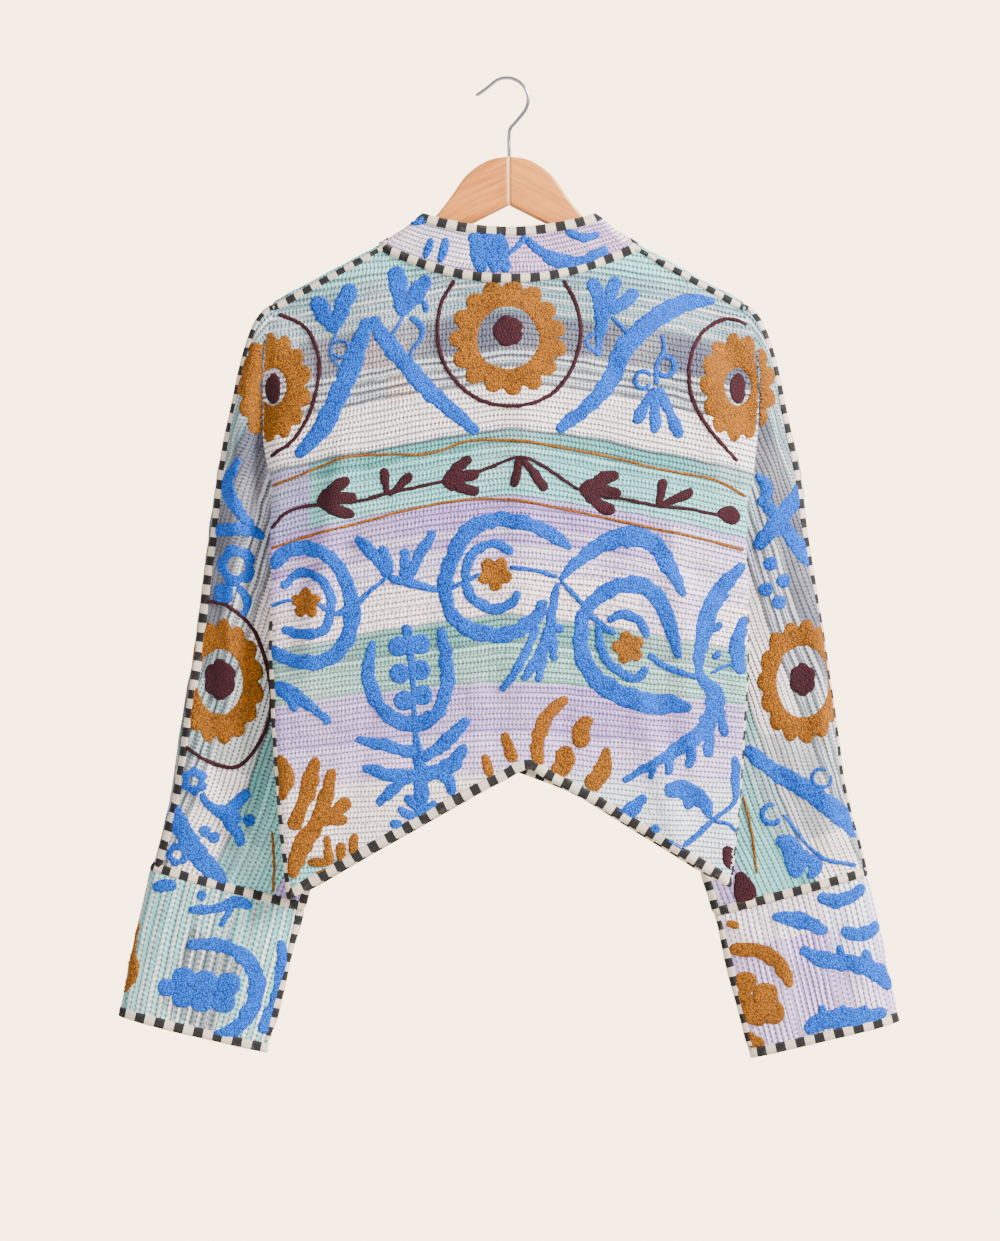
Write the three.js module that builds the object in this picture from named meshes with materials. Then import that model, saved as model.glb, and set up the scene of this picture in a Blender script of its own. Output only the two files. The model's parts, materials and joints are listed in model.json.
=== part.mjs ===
// A kantha jacket on a hanger, seen from its back: cropped, with wide sleeves cut in one with the back,
// a stand collar, turned-up cuffs and a notched hem. Millimetres, +Z up, X across, back of the jacket at -Y.
// The origin is the inside top of the hanger's hook.
import * as THREE from "three";

// Cloth and bindings
const WALL = 2.4; // quilted layers of old cotton
const SEAM_GAP = 0.5; // between two pieces at a seam
const WIDE_GAP = 1; // what is sewn to the back stands a little further off
const QUILT_RISE = 0.9; // a ridge between two rows of running stitch
const QUILT_MARGIN = 26; // from a seam or edge to the nearest ridge
const TAPE_HALF = 4.2; // half the width of a seam tape
const TAPE_THICK = 1;
const LIFT = 0.45; // from the cloth to the tape on it
const NECK_LIFT = 2; // more where the tape bridges the bend at the neck
const FOLD_LIFT = 0.7; // and beside the fold under the sleeve
const EDGE_BAND = 8; // how far an edge binding reaches up the cloth

// Hanger
const ARM_REACH = 212; // from the middle to the end of an arm
const ARM_SWEEP = 20; // how far the arms' ends come forward
const WOOD_THICK = 12;
const WIRE_RADIUS = 1.65;
const HOOK_RADIUS = 20; // to the wire's middle
const HOOK_MIDDLE = -2.2;
const STEM_TOP = -48;
const WOOD_TOP = -71.5;

// Cut of the jacket as it hangs
const NECK_HALF = 117; // from the middle to the neck point
const NECK_POINT_Z = -156;
const BACK_NECK_DROP = 31;
const FRONT_NECK_DROP = 94;
const BACK_NECK_Y = -24;
const FRONT_NECK_Y = 25;
const SHOULDER_END = 218; // where the shoulder seam runs into the over-sleeve seam
const SHOULDER_END_Z = -210;
const SIDE_LENGTH = 546; // from the shoulder end to the hem's corner
const ARMPIT_DOWN = 230;
const SEAM_BEHIND = 10; // the shoulder seam lies behind the arm of the hanger
const RIDGE_RISE = 6; // and below the ridge over it
const FRONT_GAP = 9; // from the middle to a front's edge
const HEM = { apexX: 17, apexZ: -639, round: 8, leftSlope: 0.57, rightSlope: 0.61, frontDrop: 3 };
const COLLAR = { topHalf: 79, backZ: -139, sideZ: -126, backY: -12, sideY: -4.5 };

// The body's side, by distance down from the shoulder end. Above the armpit, edge is the fold at the body's
// side, side the bottom of the fold between body and sleeve, and hollow the same fold seen from the front.
// Below it, side is the side seam and hollow the front's first turn beside it.
const BODY_SIDE = [
  { down: 0, edgeX: 214, edgeY: 9, sideX: 218, sideY: 11, hollowX: 218, hollowY: 21 },
  { down: 20, edgeX: 214, edgeY: 2, sideX: 226, sideY: 5, hollowX: 214, hollowY: 33 },
  { down: 50, edgeX: 214, edgeY: -5, sideX: 228, sideY: 1, hollowX: 200, hollowY: 33 },
  { down: 88, edgeX: 216, edgeY: -8, sideX: 229, sideY: 1, hollowX: 187, hollowY: 30 },
  { down: 125, edgeX: 218, edgeY: -8, sideX: 227, sideY: 5, hollowX: 191, hollowY: 25 },
  { down: 162, edgeX: 220, edgeY: -7, sideX: 222, sideY: 9, hollowX: 198, hollowY: 21 },
  { down: 202, edgeX: 222, edgeY: -6, sideX: 216, sideY: 11, hollowX: 205, hollowY: 16 },
  { down: 230, edgeX: 223, edgeY: -5, sideX: 212, sideY: 13, hollowX: 212, hollowY: 13 },
  { down: 262, edgeX: 222.5, edgeY: -6, sideX: 219.5, sideY: 4, hollowX: 213, hollowY: 9 },
  { down: 311, edgeX: 220, edgeY: -9, sideX: 222, sideY: -1, hollowX: 219.5, hollowY: 7 },
  { down: 385, edgeX: 216.5, edgeY: -9, sideX: 219, sideY: -1, hollowX: 216, hollowY: 7 },
  { down: 460, edgeX: 211.5, edgeY: -9, sideX: 214, sideY: -1, hollowX: 211, hollowY: 7 },
  { down: 546, edgeX: 203.5, edgeY: -9, sideX: 206, sideY: -1, hollowX: 203, hollowY: 7 },
];

// Depth of the body's middle by height
const BODY_DEPTH = [
  { z: -756, back: -15, front: 11 },
  { z: -700, back: -19, front: 14 },
  { z: -640, back: -23, front: 17 },
  { z: -530, back: -30, front: 23 },
  { z: -450, back: -33, front: 26 },
  { z: -380, back: -34, front: 27 },
  { z: -300, back: -33, front: 27 },
  { z: -230, back: -29, front: 26 },
  { z: -187, back: -24, front: 25 },
];

// The sleeve above the armpit: tip is its outer fold, crown its swell towards the back, wall its swell
// towards the front, and turn its inner fold on the front.
const SLEEVE_TOP = tabled(
  ["down", "tipX", "tipZ", "tipY", "crownX", "crownY", "wallX", "wallY", "turnX", "turnY"],
  [
    [0, 219, -203, 21, 219, 14, 219, 24, 218, 24],
    [20, 237, -222, 20, 233, 8, 231, 31, 223, 35],
    [50, 249, -253, 19, 240, 2, 234, 37, 213, 40],
    [88, 259, -297, 19, 245, -1, 236, 41, 199, 42],
    [125, 267, -334, 20, 249, 0, 236, 44, 182, 42],
    [162, 274, -370, 22, 253, 2, 234, 46, 170, 40],
    [202, 279, -408, 23, 256, 5, 230, 46, 165, 37],
    [230, 283, -434, 24, 259, 7, 228, 46, 163, 35],
  ],
);

// The sleeve below the armpit and the cuff, by distance along. swell is how far each side stands off the
// line from tip to turn, and under the place of the underarm seam between crown and turn, from 0 to 1.
const SLEEVE = [
  { along: 0, tipX: 283, tipZ: -434, tipY: 24, turnX: 163, turnZ: -446, turnY: 35, swell: 18, under: 0.08 },
  { along: 40, tipX: 289, tipZ: -474, tipY: 25, turnX: 156, turnZ: -486, turnY: 35, swell: 17, under: 0.22 },
  { along: 80, tipX: 295, tipZ: -515, tipY: 26, turnX: 152, turnZ: -527, turnY: 35, swell: 16, under: 0.36 },
  { along: 160, tipX: 307, tipZ: -593, tipY: 27, turnX: 155, turnZ: -606, turnY: 35, swell: 16, under: 0.62 },
  { along: 232, tipX: 318, tipZ: -664, tipY: 29, turnX: 168, turnZ: -688, turnY: 35, swell: 15, under: 0.8 },
  { along: 303, tipX: 336, tipZ: -733, tipY: 31, turnX: 192, turnZ: -772, turnY: 35, swell: 15, under: 0.84 },
  { along: 355, tipX: 352, tipZ: -803, tipY: 31, turnX: 209, turnZ: -841, turnY: 34, swell: 16, under: 0.84 },
  { along: 408, tipX: 366, tipZ: -873, tipY: 31, turnX: 227, turnZ: -908, turnY: 34, swell: 16, under: 0.84 },
];
const CUFF_START = 303;
const CUFF_END = 408;

// The two sides don't hang alike: how far the over-sleeve seam lies round from the tip towards the back at
// the top and at the cuff, how much lower the sleeve hangs, and how open the fold beside the body is.
const SIDES = {
  left: { sign: -1, seamTop: 8, seamCuff: 5, drop: 0, open: 0 },
  right: { sign: 1, seamTop: 10, seamCuff: -5, drop: 5, open: 3 },
};

// Rows and columns of the walls
const ARM_ROWS = [0, 6, 20, 40, 64, 90, 118, 146, 174, 202, 230];
const LOWER_ROWS = 12;
const CUFF_ROWS = 4;
const COLLAR_ROWS = 4;
const SHOULDER_STEPS = [0, 5, 14, 26, 42, 62, 84, 114.5]; // columns from the side, up to the neck point
const NECK_COLUMNS = 6;
const SLEEVE_BACK_SHARES = [0, 0.05, 0.16, 0.32, 0.5, 0.68, 0.86, 1];
const SLEEVE_FRONT_SHARES = [0, 0.05, 0.18, 0.36, 0.54, 0.72, 0.88, 1]; // up to the turn
const PAST_TURN_SHARES = [0.5, 1]; // from the turn to the underarm seam

// The front neckline from over the hanger's arm to the front's edge, and the collar's top above each point
const FRONT_NECKLINE = [
  { x: 114, y: 8, z: -148.5, topX: 80, topY: 6, topZ: -125.5 },
  { x: 109, y: 17, z: -160, topX: 79.5, topY: 13, topZ: -128 },
  { x: 100, y: 22, z: -178, topX: 77, topY: 19, topZ: -136 },
  { x: 80, y: 24, z: -205, topX: 67, topY: 23, topZ: -154 },
  { x: 48, y: 24.5, z: -234, topX: 43, topY: 27, topZ: -182 },
  { x: FRONT_GAP, y: FRONT_NECK_Y, z: NECK_POINT_Z - FRONT_NECK_DROP, topX: FRONT_GAP, topY: 30, topZ: -203 },
];

const CLOTH = new THREE.MeshStandardMaterial({ color: 0xc9cfd8, roughness: 0.9, metalness: 0 });
const TAPE = new THREE.MeshStandardMaterial({ color: 0x4a4746, roughness: 0.85, metalness: 0 });
const WOOD = new THREE.MeshStandardMaterial({ color: 0xdeb080, roughness: 0.45, metalness: 0 });
const CHROME = new THREE.MeshStandardMaterial({ color: 0xc8c8cc, roughness: 0.15, metalness: 1 });

// A table's rows under the names of its columns.
function tabled(names, rows) {
  return rows.map((row) => Object.fromEntries(names.map((name, i) => [name, row[i]])));
}

const vec = (x, y, z) => new THREE.Vector3(x, y, z);
const mix = (a, b, t) => a + (b - a) * t;
const last = (list) => list[list.length - 1];
const ease = (t) => THREE.MathUtils.smoothstep(t, 0, 1);

// A named column of a table at a place between its rows, by a smooth curve through them.
function read(table, key, name, at) {
  const end = table.length - 1;
  const place = THREE.MathUtils.clamp(at, table[0][key], table[end][key]);
  let i = 0;
  while (i < end - 1 && table[i + 1][key] < place) i += 1;
  const slope = (k) => {
    const a = table[Math.max(k - 1, 0)];
    const b = table[Math.min(k + 1, end)];
    return (b[name] - a[name]) / (b[key] - a[key]);
  };
  const [low, high] = [table[i], table[i + 1]];
  const span = high[key] - low[key];
  const t = (place - low[key]) / span;
  const rise = t * t * (3 - 2 * t);
  const bend = slope(i) * t * (1 - t) ** 2 - slope(i + 1) * t * t * (1 - t);
  return mix(low[name], high[name], rise) + span * bend;
}

// A dense smooth line through points, with the index of each of them in it.
function lineThrough(points, closed = false) {
  const curve = new THREE.CatmullRomCurve3(points, closed, "centripetal");
  const spans = closed ? points.length : points.length - 1;
  const fine = 12;
  const line = Array.from({ length: spans * fine + 1 }, (_, i) => curve.getPoint(i / (spans * fine)));
  return { line, at: (i) => i * fine };
}

// Points at given distances along a line.
function atDistances(line, distances) {
  const run = [0];
  for (let i = 1; i < line.length; i += 1) run.push(run[i - 1] + line[i].distanceTo(line[i - 1]));
  return distances.map((d) => {
    let i = 1;
    while (i < line.length - 1 && run[i] < d) i += 1;
    const t = (d - run[i - 1]) / (run[i] - run[i - 1]);
    return line[i - 1].clone().lerp(line[i], THREE.MathUtils.clamp(t, 0, 1));
  });
}

function lengthOf(line) {
  let sum = 0;
  for (let i = 1; i < line.length; i += 1) sum += line[i].distanceTo(line[i - 1]);
  return sum;
}

const armY = (x) => ARM_SWEEP * (Math.abs(x) / ARM_REACH) ** 2;
const shoulderZ = (x) =>
  mix(NECK_POINT_Z, SHOULDER_END_Z, (Math.abs(x) - NECK_HALF) / (SHOULDER_END - NECK_HALF));
const backTopZ = (x) =>
  Math.abs(x) > NECK_HALF ? shoulderZ(x) : NECK_POINT_Z - BACK_NECK_DROP * (1 - (x / NECK_HALF) ** 2);
const frontTopZ = (x) =>
  Math.abs(x) > NECK_HALF
    ? shoulderZ(x)
    : NECK_POINT_Z - FRONT_NECK_DROP * (1 - (Math.abs(x) / NECK_HALF) ** 1.9);
const neckY = armY(NECK_HALF) - SEAM_BEHIND;
const backTopY = (x) =>
  Math.abs(x) > NECK_HALF
    ? armY(x) - SEAM_BEHIND
    : mix(BACK_NECK_Y, neckY, (Math.abs(x) / NECK_HALF) ** 1.6);

function hemZ(x) {
  const away = x - HEM.apexX;
  const slope = away < 0 ? HEM.leftSlope : HEM.rightSlope;
  return HEM.apexZ - slope * (Math.hypot(away, HEM.round) - HEM.round);
}

// Height of a body point from its place across and its row.
function bodyZ(x, down, front) {
  const top = front ? frontTopZ(x) : backTopZ(x);
  const hem = hemZ(x) - (front ? HEM.frontDrop : 0);
  return mix(top, hem, down / SIDE_LENGTH);
}

// The back's middle column leans to the top of the hem's notch.
const middleX = (down) => HEM.apexX * (down / SIDE_LENGTH) ** 2;

const SECTION_SHARES = [0, 0.3, 0.55, 0.78, 0.92];
const backSwell = (t) => (1 - t ** 2.3) ** 0.75;
const frontSwell = (t) => 1 - t ** 1.8;

// The back's section points from the middle to beside the fold at its edge.
function backSection(side, down) {
  const edgeX = read(BODY_SIDE, "down", "edgeX", down);
  const edgeY = read(BODY_SIDE, "down", "edgeY", down);
  const edge = vec(side.sign * edgeX, mix(backTopY(edgeX), edgeY, ease(down / 20)), 0);
  edge.z = bodyZ(edge.x, down, false);
  return SECTION_SHARES.map((share) => {
    const x = mix(middleX(down), side.sign * edgeX, share);
    const z = bodyZ(x, down, false);
    const full = mix(edgeY, read(BODY_DEPTH, "z", "back", z), backSwell(share));
    return vec(x, mix(backTopY(x), full, ease(down / 90)), z);
  }).concat(edge);
}

// The front's section points from beside the side seam to the front's edge.
function frontSection(side, down, startX, startY) {
  return SECTION_SHARES.map((share) => {
    const x = side.sign * Math.max(share * startX, FRONT_GAP);
    const z = bodyZ(x, down, true);
    return vec(x, mix(startY, read(BODY_DEPTH, "z", "front", z), frontSwell(share)), z);
  }).reverse();
}

const seamTurn = (side, share) => mix(side.seamTop, side.seamCuff, ease(share));

// One row above the armpit, as four runs of points: from the side fold to the body's middle at the back and
// at the front, and from the over-sleeve seam to that fold round the back and round the front.
function armRow(side, down) {
  const s = side.sign;
  const body = (name) => read(BODY_SIDE, "down", name, down);
  const arm = (name) => read(SLEEVE_TOP, "down", name, down);
  const soft = side.open * ease(down / 60) * ease((ARMPIT_DOWN - down) / 60);
  const back = backSection(side, down);
  const foldZ = bodyZ(s * body("sideX"), down, false);
  const fold = vec(s * (body("sideX") + soft), body("sideY") - 2 * soft, foldZ);
  const tipZ = arm("tipZ") - side.drop * (down / ARMPIT_DOWN);
  const tip = vec(s * arm("tipX"), arm("tipY"), tipZ);
  const crown = vec(s * arm("crownX"), arm("crownY"), mix(tipZ, fold.z, 0.4));
  const hollow = vec(s * body("hollowX"), body("hollowY"), bodyZ(s * body("hollowX"), down, true));
  const turn = vec(s * arm("turnX"), arm("turnY"), mix(hollow.z, fold.z, 0.5) - 3 * (down / ARMPIT_DOWN));
  const wall = vec(s * arm("wallX"), arm("wallY"), mix(tipZ, turn.z, 0.45));
  const front = frontSection(side, down, body("hollowX"), body("hollowY"));
  const all = [...back, fold, crown, tip, wall, turn, hollow, ...front.slice(1)];
  if (down === ARMPIT_DOWN) hollow.copy(fold);
  const { line, at } = lineThrough(all);
  const [foldAt, tipAt, turnAt, hollowAt] = [0, 2, 4, 5].map((k) => at(back.length + k));
  const reach = lengthOf(line.slice(foldAt, tipAt + 1));
  const turnBack = Math.min(seamTurn(side, down / (ARMPIT_DOWN + CUFF_START)), reach * 0.4);
  return {
    back: line.slice(0, foldAt + 1).reverse(),
    front: line.slice(hollowAt),
    ...splitAtSeam(line.slice(foldAt, tipAt + 1), line.slice(tipAt, hollowAt + 1), turnBack, turnAt - tipAt),
  };
}

// Parts a sleeve's section at the over-sleeve seam, which lies a little round from the tip. turnAt is the
// place of the turn in the second run.
function splitAtSeam(toTip, fromTip, turnBack, turnAt) {
  const whole = [...toTip, ...fromTip.slice(1)];
  const seamAt = lengthOf(toTip) - turnBack;
  const turn = lengthOf(toTip) + lengthOf(fromTip.slice(0, turnAt + 1));
  const total = lengthOf(whole);
  const fine = Array.from({ length: 121 }, (_, i) => i / 120);
  return {
    sleeveBack: atDistances(whole, fine.map((t) => seamAt * (1 - t))),
    sleeveFront: atDistances(whole, fine.map((t) => mix(seamAt, total, t))),
    turnShare: (turn - seamAt) / (total - seamAt),
  };
}

const frontColumns = (line, turnShare) =>
  sharesOf(line, [
    ...SLEEVE_FRONT_SHARES.map((t) => t * turnShare),
    ...PAST_TURN_SHARES.map((t) => mix(turnShare, 1, t)),
  ]);

// One row of the body below the armpit.
function bodyRow(side, down) {
  const s = side.sign;
  const body = (name) => read(BODY_SIDE, "down", name, down);
  const back = backSection(side, down);
  const seam = vec(s * body("sideX"), body("sideY"), bodyZ(s * body("sideX"), down, false));
  const front = frontSection(side, down, body("hollowX") - 4, body("hollowY") + 1);
  const corner = vec(s * body("hollowX"), body("hollowY"), bodyZ(s * body("hollowX"), down, false));
  const { line, at } = lineThrough([...back, seam, corner, ...front]);
  return { back: line.slice(0, at(back.length) + 1).reverse(), front: line.slice(at(back.length)) };
}

// One row of the sleeve or cuff below the armpit, as its two runs from the over-sleeve seam.
function sleeveRow(side, along) {
  const s = side.sign;
  const arm = (name) => read(SLEEVE, "along", name, along);
  const tip = vec(s * arm("tipX"), arm("tipY"), arm("tipZ") - side.drop);
  const turn = vec(s * arm("turnX"), arm("turnY"), arm("turnZ") - side.drop);
  const off = (share, swell) => tip.clone().lerp(turn, share).add(vec(0, swell * arm("swell"), 0));
  const ring = [
    tip, off(0.06, -0.62), off(0.22, -1), off(0.5, -0.92), off(0.8, -0.66), off(0.95, -0.45),
    turn, off(0.95, 0.5), off(0.8, 0.7), off(0.5, 0.9), off(0.22, 0.95), off(0.06, 0.6),
  ];
  const { line, at } = lineThrough(ring, true);
  const seamAt = Math.round(mix(at(3), at(6), arm("under")));
  const whole = line.slice(0, -1);
  const backRun = whole.slice(0, seamAt + 1);
  const frontRun = [...whole.slice(seamAt), whole[0]];
  const turnBack = seamTurn(side, (along + ARMPIT_DOWN) / (ARMPIT_DOWN + CUFF_START));
  return splitAtSeam(backRun.reverse(), frontRun.reverse(), turnBack, whole.length - at(6));
}

// The jacket's outer surface: shared points, and each piece's faces on them, facing out.
const points = [];
const pieces = new Map();

function point(p) {
  points.push(p);
  return points.length - 1;
}

// Faces between the rows of a grid of point numbers. Two like numbers in a cell make a triangle. The edges
// that a ridge crosses are marked: those down the grid for ridges across it, and those across it otherwise.
function cover(piece, grid, flip, ridges) {
  if (!pieces.has(piece)) pieces.set(piece, { faces: [], marked: new Set() });
  const { faces, marked } = pieces.get(piece);
  for (let j = 0; j + 1 < grid.length; j += 1) {
    for (let k = 0; k + 1 < grid[j].length; k += 1) {
      const cell = [grid[j][k], grid[j + 1][k], grid[j + 1][k + 1], grid[j][k + 1]];
      const ring = cell.filter((v, i) => v !== cell[(i + 3) % 4]);
      if (flip) ring.reverse();
      const across = (i) => points[ring[i]].distanceTo(points[ring[(i + 2) % ring.length]]);
      if (ring.length === 4 && across(0) > across(1) + 1e-6) ring.push(ring.shift());
      faces.push(ring);
      if (ridges === "across") [[0, 1], [3, 2]].forEach(([a, b]) => marked.add(edgeKey(cell[a], cell[b])));
      else [[0, 3], [1, 2]].forEach(([a, b]) => marked.add(edgeKey(cell[a], cell[b])));
    }
  }
}

const edgeKey = (a, b) => (a < b ? `${a},${b}` : `${b},${a}`);

const sharesOf = (line, shares) => atDistances(line, shares.map((t) => t * lengthOf(line)));

// Columns of a body run: at fixed steps from the side, then by shares of the rest to the middle.
const evenShares = FRONT_NECKLINE.map((_, k) => (k + 1) / NECK_COLUMNS);

function bodyColumns(line, scale = 1, shares = evenShares) {
  const steps = SHOULDER_STEPS.map((d) => d * scale);
  const reach = last(steps);
  const rest = lengthOf(line) - reach;
  return atDistances(line, [...steps, ...shares.map((share) => reach + rest * share)]);
}

// On the front, they lead down from the neckline's own points and even out on the way.
function frontBodyColumns(line, down) {
  const evened = ease(down / ARMPIT_DOWN);
  const hollowX = read(BODY_SIDE, "down", "hollowX", down);
  const scale = mix((hollowX - NECK_HALF) / last(SHOULDER_STEPS), 1, evened);
  const atNeckline = FRONT_NECKLINE.map((n) => (NECK_HALF - n.x) / (NECK_HALF - FRONT_GAP));
  const shares = atNeckline.map((share, k) => mix(share, evenShares[k], evened));
  return bodyColumns(line, scale, shares);
}

// The same columns on the shoulder seam, as distances from the middle.
function shoulderColumns() {
  return SHOULDER_STEPS.map((d) => mix(SHOULDER_END, NECK_HALF, d / last(SHOULDER_STEPS)));
}

// All grids of one side. Their shared points carry the same numbers.
function sideGrids(side, middle) {
  const s = side.sign;
  const shoulderX = shoulderColumns();
  const neckX = Array.from({ length: NECK_COLUMNS }, (_, i) => NECK_HALF * (1 - (i + 1) / NECK_COLUMNS));
  const seam = shoulderX.map((x) => point(vec(s * x, backTopY(x), backTopZ(x))));
  const backNeck = neckX.slice(0, -1).map((x) => point(vec(s * x, backTopY(x), backTopZ(x))));
  const frontNeck = FRONT_NECKLINE.map((n) => point(vec(s * n.x, n.y, n.z)));

  const grids = { back: [[...seam, ...backNeck, middle[0]]], front: [[...seam, ...frontNeck]] };
  const shoulderEnd = seam[0];
  grids.sleeveBack = [SLEEVE_BACK_SHARES.map(() => shoulderEnd)];
  grids.sleeveFront = [[...SLEEVE_FRONT_SHARES, ...PAST_TURN_SHARES].map(() => shoulderEnd)];

  ARM_ROWS.slice(1).forEach((down, i) => {
    const row = armRow(side, down);
    const back = bodyColumns(row.back).slice(0, -1).map(point);
    const frontPoints = frontBodyColumns(row.front, down);
    if (i < 2) bendOverShoulder(side, frontPoints, shoulderX, i);
    const front = frontPoints.map(point);
    const isArmpit = down === ARMPIT_DOWN;
    if (isArmpit) front[0] = back[0];
    grids.back.push([...back, middle[i + 1]]);
    grids.front.push(front);
    const outer = sharesOf(row.sleeveBack, SLEEVE_BACK_SHARES);
    if (i < 2) row.sleeveFront = row.sleeveFront.slice(0, 60).concat(frontPoints[0]);
    const inner = frontColumns(row.sleeveFront, i < 2 ? 0.8 : row.turnShare);
    const overSeam = point(outer[0]);
    grids.sleeveBack.push([overSeam, ...outer.slice(1, -1).map(point), back[0]]);
    grids.sleeveFront.push([overSeam, ...inner.slice(1, -1).map(point), front[0]]);
  });

  const armRows = ARM_ROWS.length - 1;
  grids.bodyBack = [grids.back[armRows]];
  grids.bodyFront = [grids.front[armRows]];
  grids.lowerBack = [grids.sleeveBack[armRows]];
  grids.lowerFront = [grids.sleeveFront[armRows]];
  for (let j = 1; j <= LOWER_ROWS; j += 1) {
    const row = bodyRow(side, mix(ARMPIT_DOWN, SIDE_LENGTH, j / LOWER_ROWS));
    const back = bodyColumns(row.back).slice(0, -1).map(point);
    grids.bodyBack.push([...back, middle[armRows + j]]);
    grids.bodyFront.push([back[0], ...bodyColumns(row.front).slice(1).map(point)]);
    const sleeve = sleeveRow(side, (CUFF_START * j) / LOWER_ROWS);
    const outer = sharesOf(sleeve.sleeveBack, SLEEVE_BACK_SHARES).map(point);
    const inner = frontColumns(sleeve.sleeveFront, sleeve.turnShare).slice(1, -1).map(point);
    grids.lowerBack.push(outer);
    grids.lowerFront.push([outer[0], ...inner, outer[outer.length - 1]]);
  }

  const backOfCuff = [...grids.lowerBack[LOWER_ROWS]].reverse();
  grids.cuff = [[...backOfCuff, ...grids.lowerFront[LOWER_ROWS].slice(1, -1), backOfCuff[0]]];
  for (let j = 1; j <= CUFF_ROWS; j += 1) {
    const row = sleeveRow(side, mix(CUFF_START, CUFF_END, j / CUFF_ROWS));
    const outer = sharesOf(row.sleeveBack, SLEEVE_BACK_SHARES).reverse().map(point);
    const inner = frontColumns(row.sleeveFront, row.turnShare).slice(1, -1).map(point);
    grids.cuff.push([...outer, ...inner, outer[0]]);
  }
  return grids;
}

// The front's first two rows lie over the hanger's arm, on its ridge and just past it. Beside the neckline
// they lead from it to the row below.
function bendOverShoulder(side, row, shoulderX, i) {
  shoulderX.forEach((x, k) => {
    const atNeck = k === shoulderX.length - 1 ? 2 : 0;
    const ridge = vec(x + 1 + atNeck, armY(x), shoulderZ(x + atNeck) + RIDGE_RISE - atNeck / 2);
    const past = vec(x + 1 + atNeck, armY(x) + SEAM_BEHIND + 1, shoulderZ(x + atNeck) - 1);
    row[k].copy(i === 0 ? ridge : past).setX(side.sign * (i === 0 ? ridge : past).x);
  });
  const below = frontBodyColumns(armRow(side, ARM_ROWS[3]).front, ARM_ROWS[3]);
  FRONT_NECKLINE.forEach((n, k) => {
    const base = vec(side.sign * n.x, n.y, n.z);
    const place = base.clone().lerp(below[shoulderX.length + k], i === 0 ? 0.17 : 0.5);
    if (k === 0) place.copy(base).add(i === 0 ? vec(side.sign * 5, 5, -2.5) : vec(side.sign * 4, 12, -11));
    row[shoulderX.length + k].copy(place);
  });
}

// The middle of the back, shared by both sides.
const bodyDowns = [
  ...ARM_ROWS,
  ...Array.from({ length: LOWER_ROWS }, (_, j) => mix(ARMPIT_DOWN, SIDE_LENGTH, (j + 1) / LOWER_ROWS)),
];
const middle = bodyDowns.map((down) => {
  const z = bodyZ(middleX(down), down, false);
  return point(vec(middleX(down), mix(BACK_NECK_Y, read(BODY_DEPTH, "z", "back", z), ease(down / 90)), z));
});

const made = Object.fromEntries(Object.entries(SIDES).map(([name, side]) => [name, sideGrids(side, middle)]));

for (const [name, grids] of Object.entries(made)) {
  const right = name === "right";
  cover("back", grids.back, right, "across");
  cover("back", grids.bodyBack, right, "across");
  cover("back", grids.sleeveBack, right, "along");
  cover("back", grids.lowerBack, right, "along");
  cover(`front_${name}`, grids.front, !right, "across");
  cover(`front_${name}`, grids.bodyFront, !right, "across");
  cover(`front_${name}`, grids.sleeveFront, !right, "along");
  cover(`front_${name}`, grids.lowerFront, !right, "along");
  cover(`cuff_${name}`, grids.cuff, !right, "along");
}

// Collar: from one front edge round the back to the other, standing on the neck seam.
const neckOf = (grids) => [
  ...grids.front[0].slice(SHOULDER_STEPS.length).reverse(),
  ...grids.back[0].slice(SHOULDER_STEPS.length - 1, -1),
];
const neckSeam = [...neckOf(made.left), middle[0], ...neckOf(made.right).reverse()];

function backCollarTop(base) {
  const t = Math.abs(base.x) / NECK_HALF;
  const z = mix(COLLAR.backZ, COLLAR.sideZ, t * t);
  return vec(Math.sign(base.x) * COLLAR.topHalf * t, mix(COLLAR.backY, COLLAR.sideY, t ** 4), z);
}

const frontTops = FRONT_NECKLINE.map((n) => vec(n.topX, n.topY, n.topZ)).reverse();
const mirrored = (p) => vec(-p.x, p.y, p.z);
const neckTops = neckSeam.map((id, i) => {
  const fromEnd = Math.min(i, neckSeam.length - 1 - i);
  if (fromEnd >= frontTops.length) return backCollarTop(points[id]);
  return points[id].x < 0 ? mirrored(frontTops[fromEnd]) : frontTops[fromEnd];
});

const collarGrid = Array.from({ length: COLLAR_ROWS + 1 }, () => []);
neckSeam.forEach((id, i) => {
  collarGrid[COLLAR_ROWS].push(id);
  for (let j = 0; j < COLLAR_ROWS; j += 1) {
    collarGrid[j].push(point(neckTops[i].clone().lerp(points[id], j / COLLAR_ROWS)));
  }
});
cover("collar", collarGrid, false, "along");

// A normal for each point, from the faces of all pieces round it.
const normals = points.map(() => vec(0, 0, 0));
const besides = points.map(() => new Set()); // the points each point shares a face's side with
const slants = points.map(() => new Set()); // and those it shares a face's diagonal with
for (const { faces } of pieces.values()) {
  for (const ring of faces) {
    ring.forEach((v, i) => {
      besides[v].add(ring[(i + ring.length - 1) % ring.length]).add(ring[(i + 1) % ring.length]);
      if (ring.length === 4 && i % 2 === 0) slants[v].add(ring[(i + 2) % 4]);
      const before = points[ring[(i + ring.length - 1) % ring.length]].clone().sub(points[v]);
      const after = points[ring[(i + 1) % ring.length]].clone().sub(points[v]);
      normals[v].add(after.cross(before).normalize());
    });
  }
}
normals.forEach((n) => n.normalize());

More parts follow.
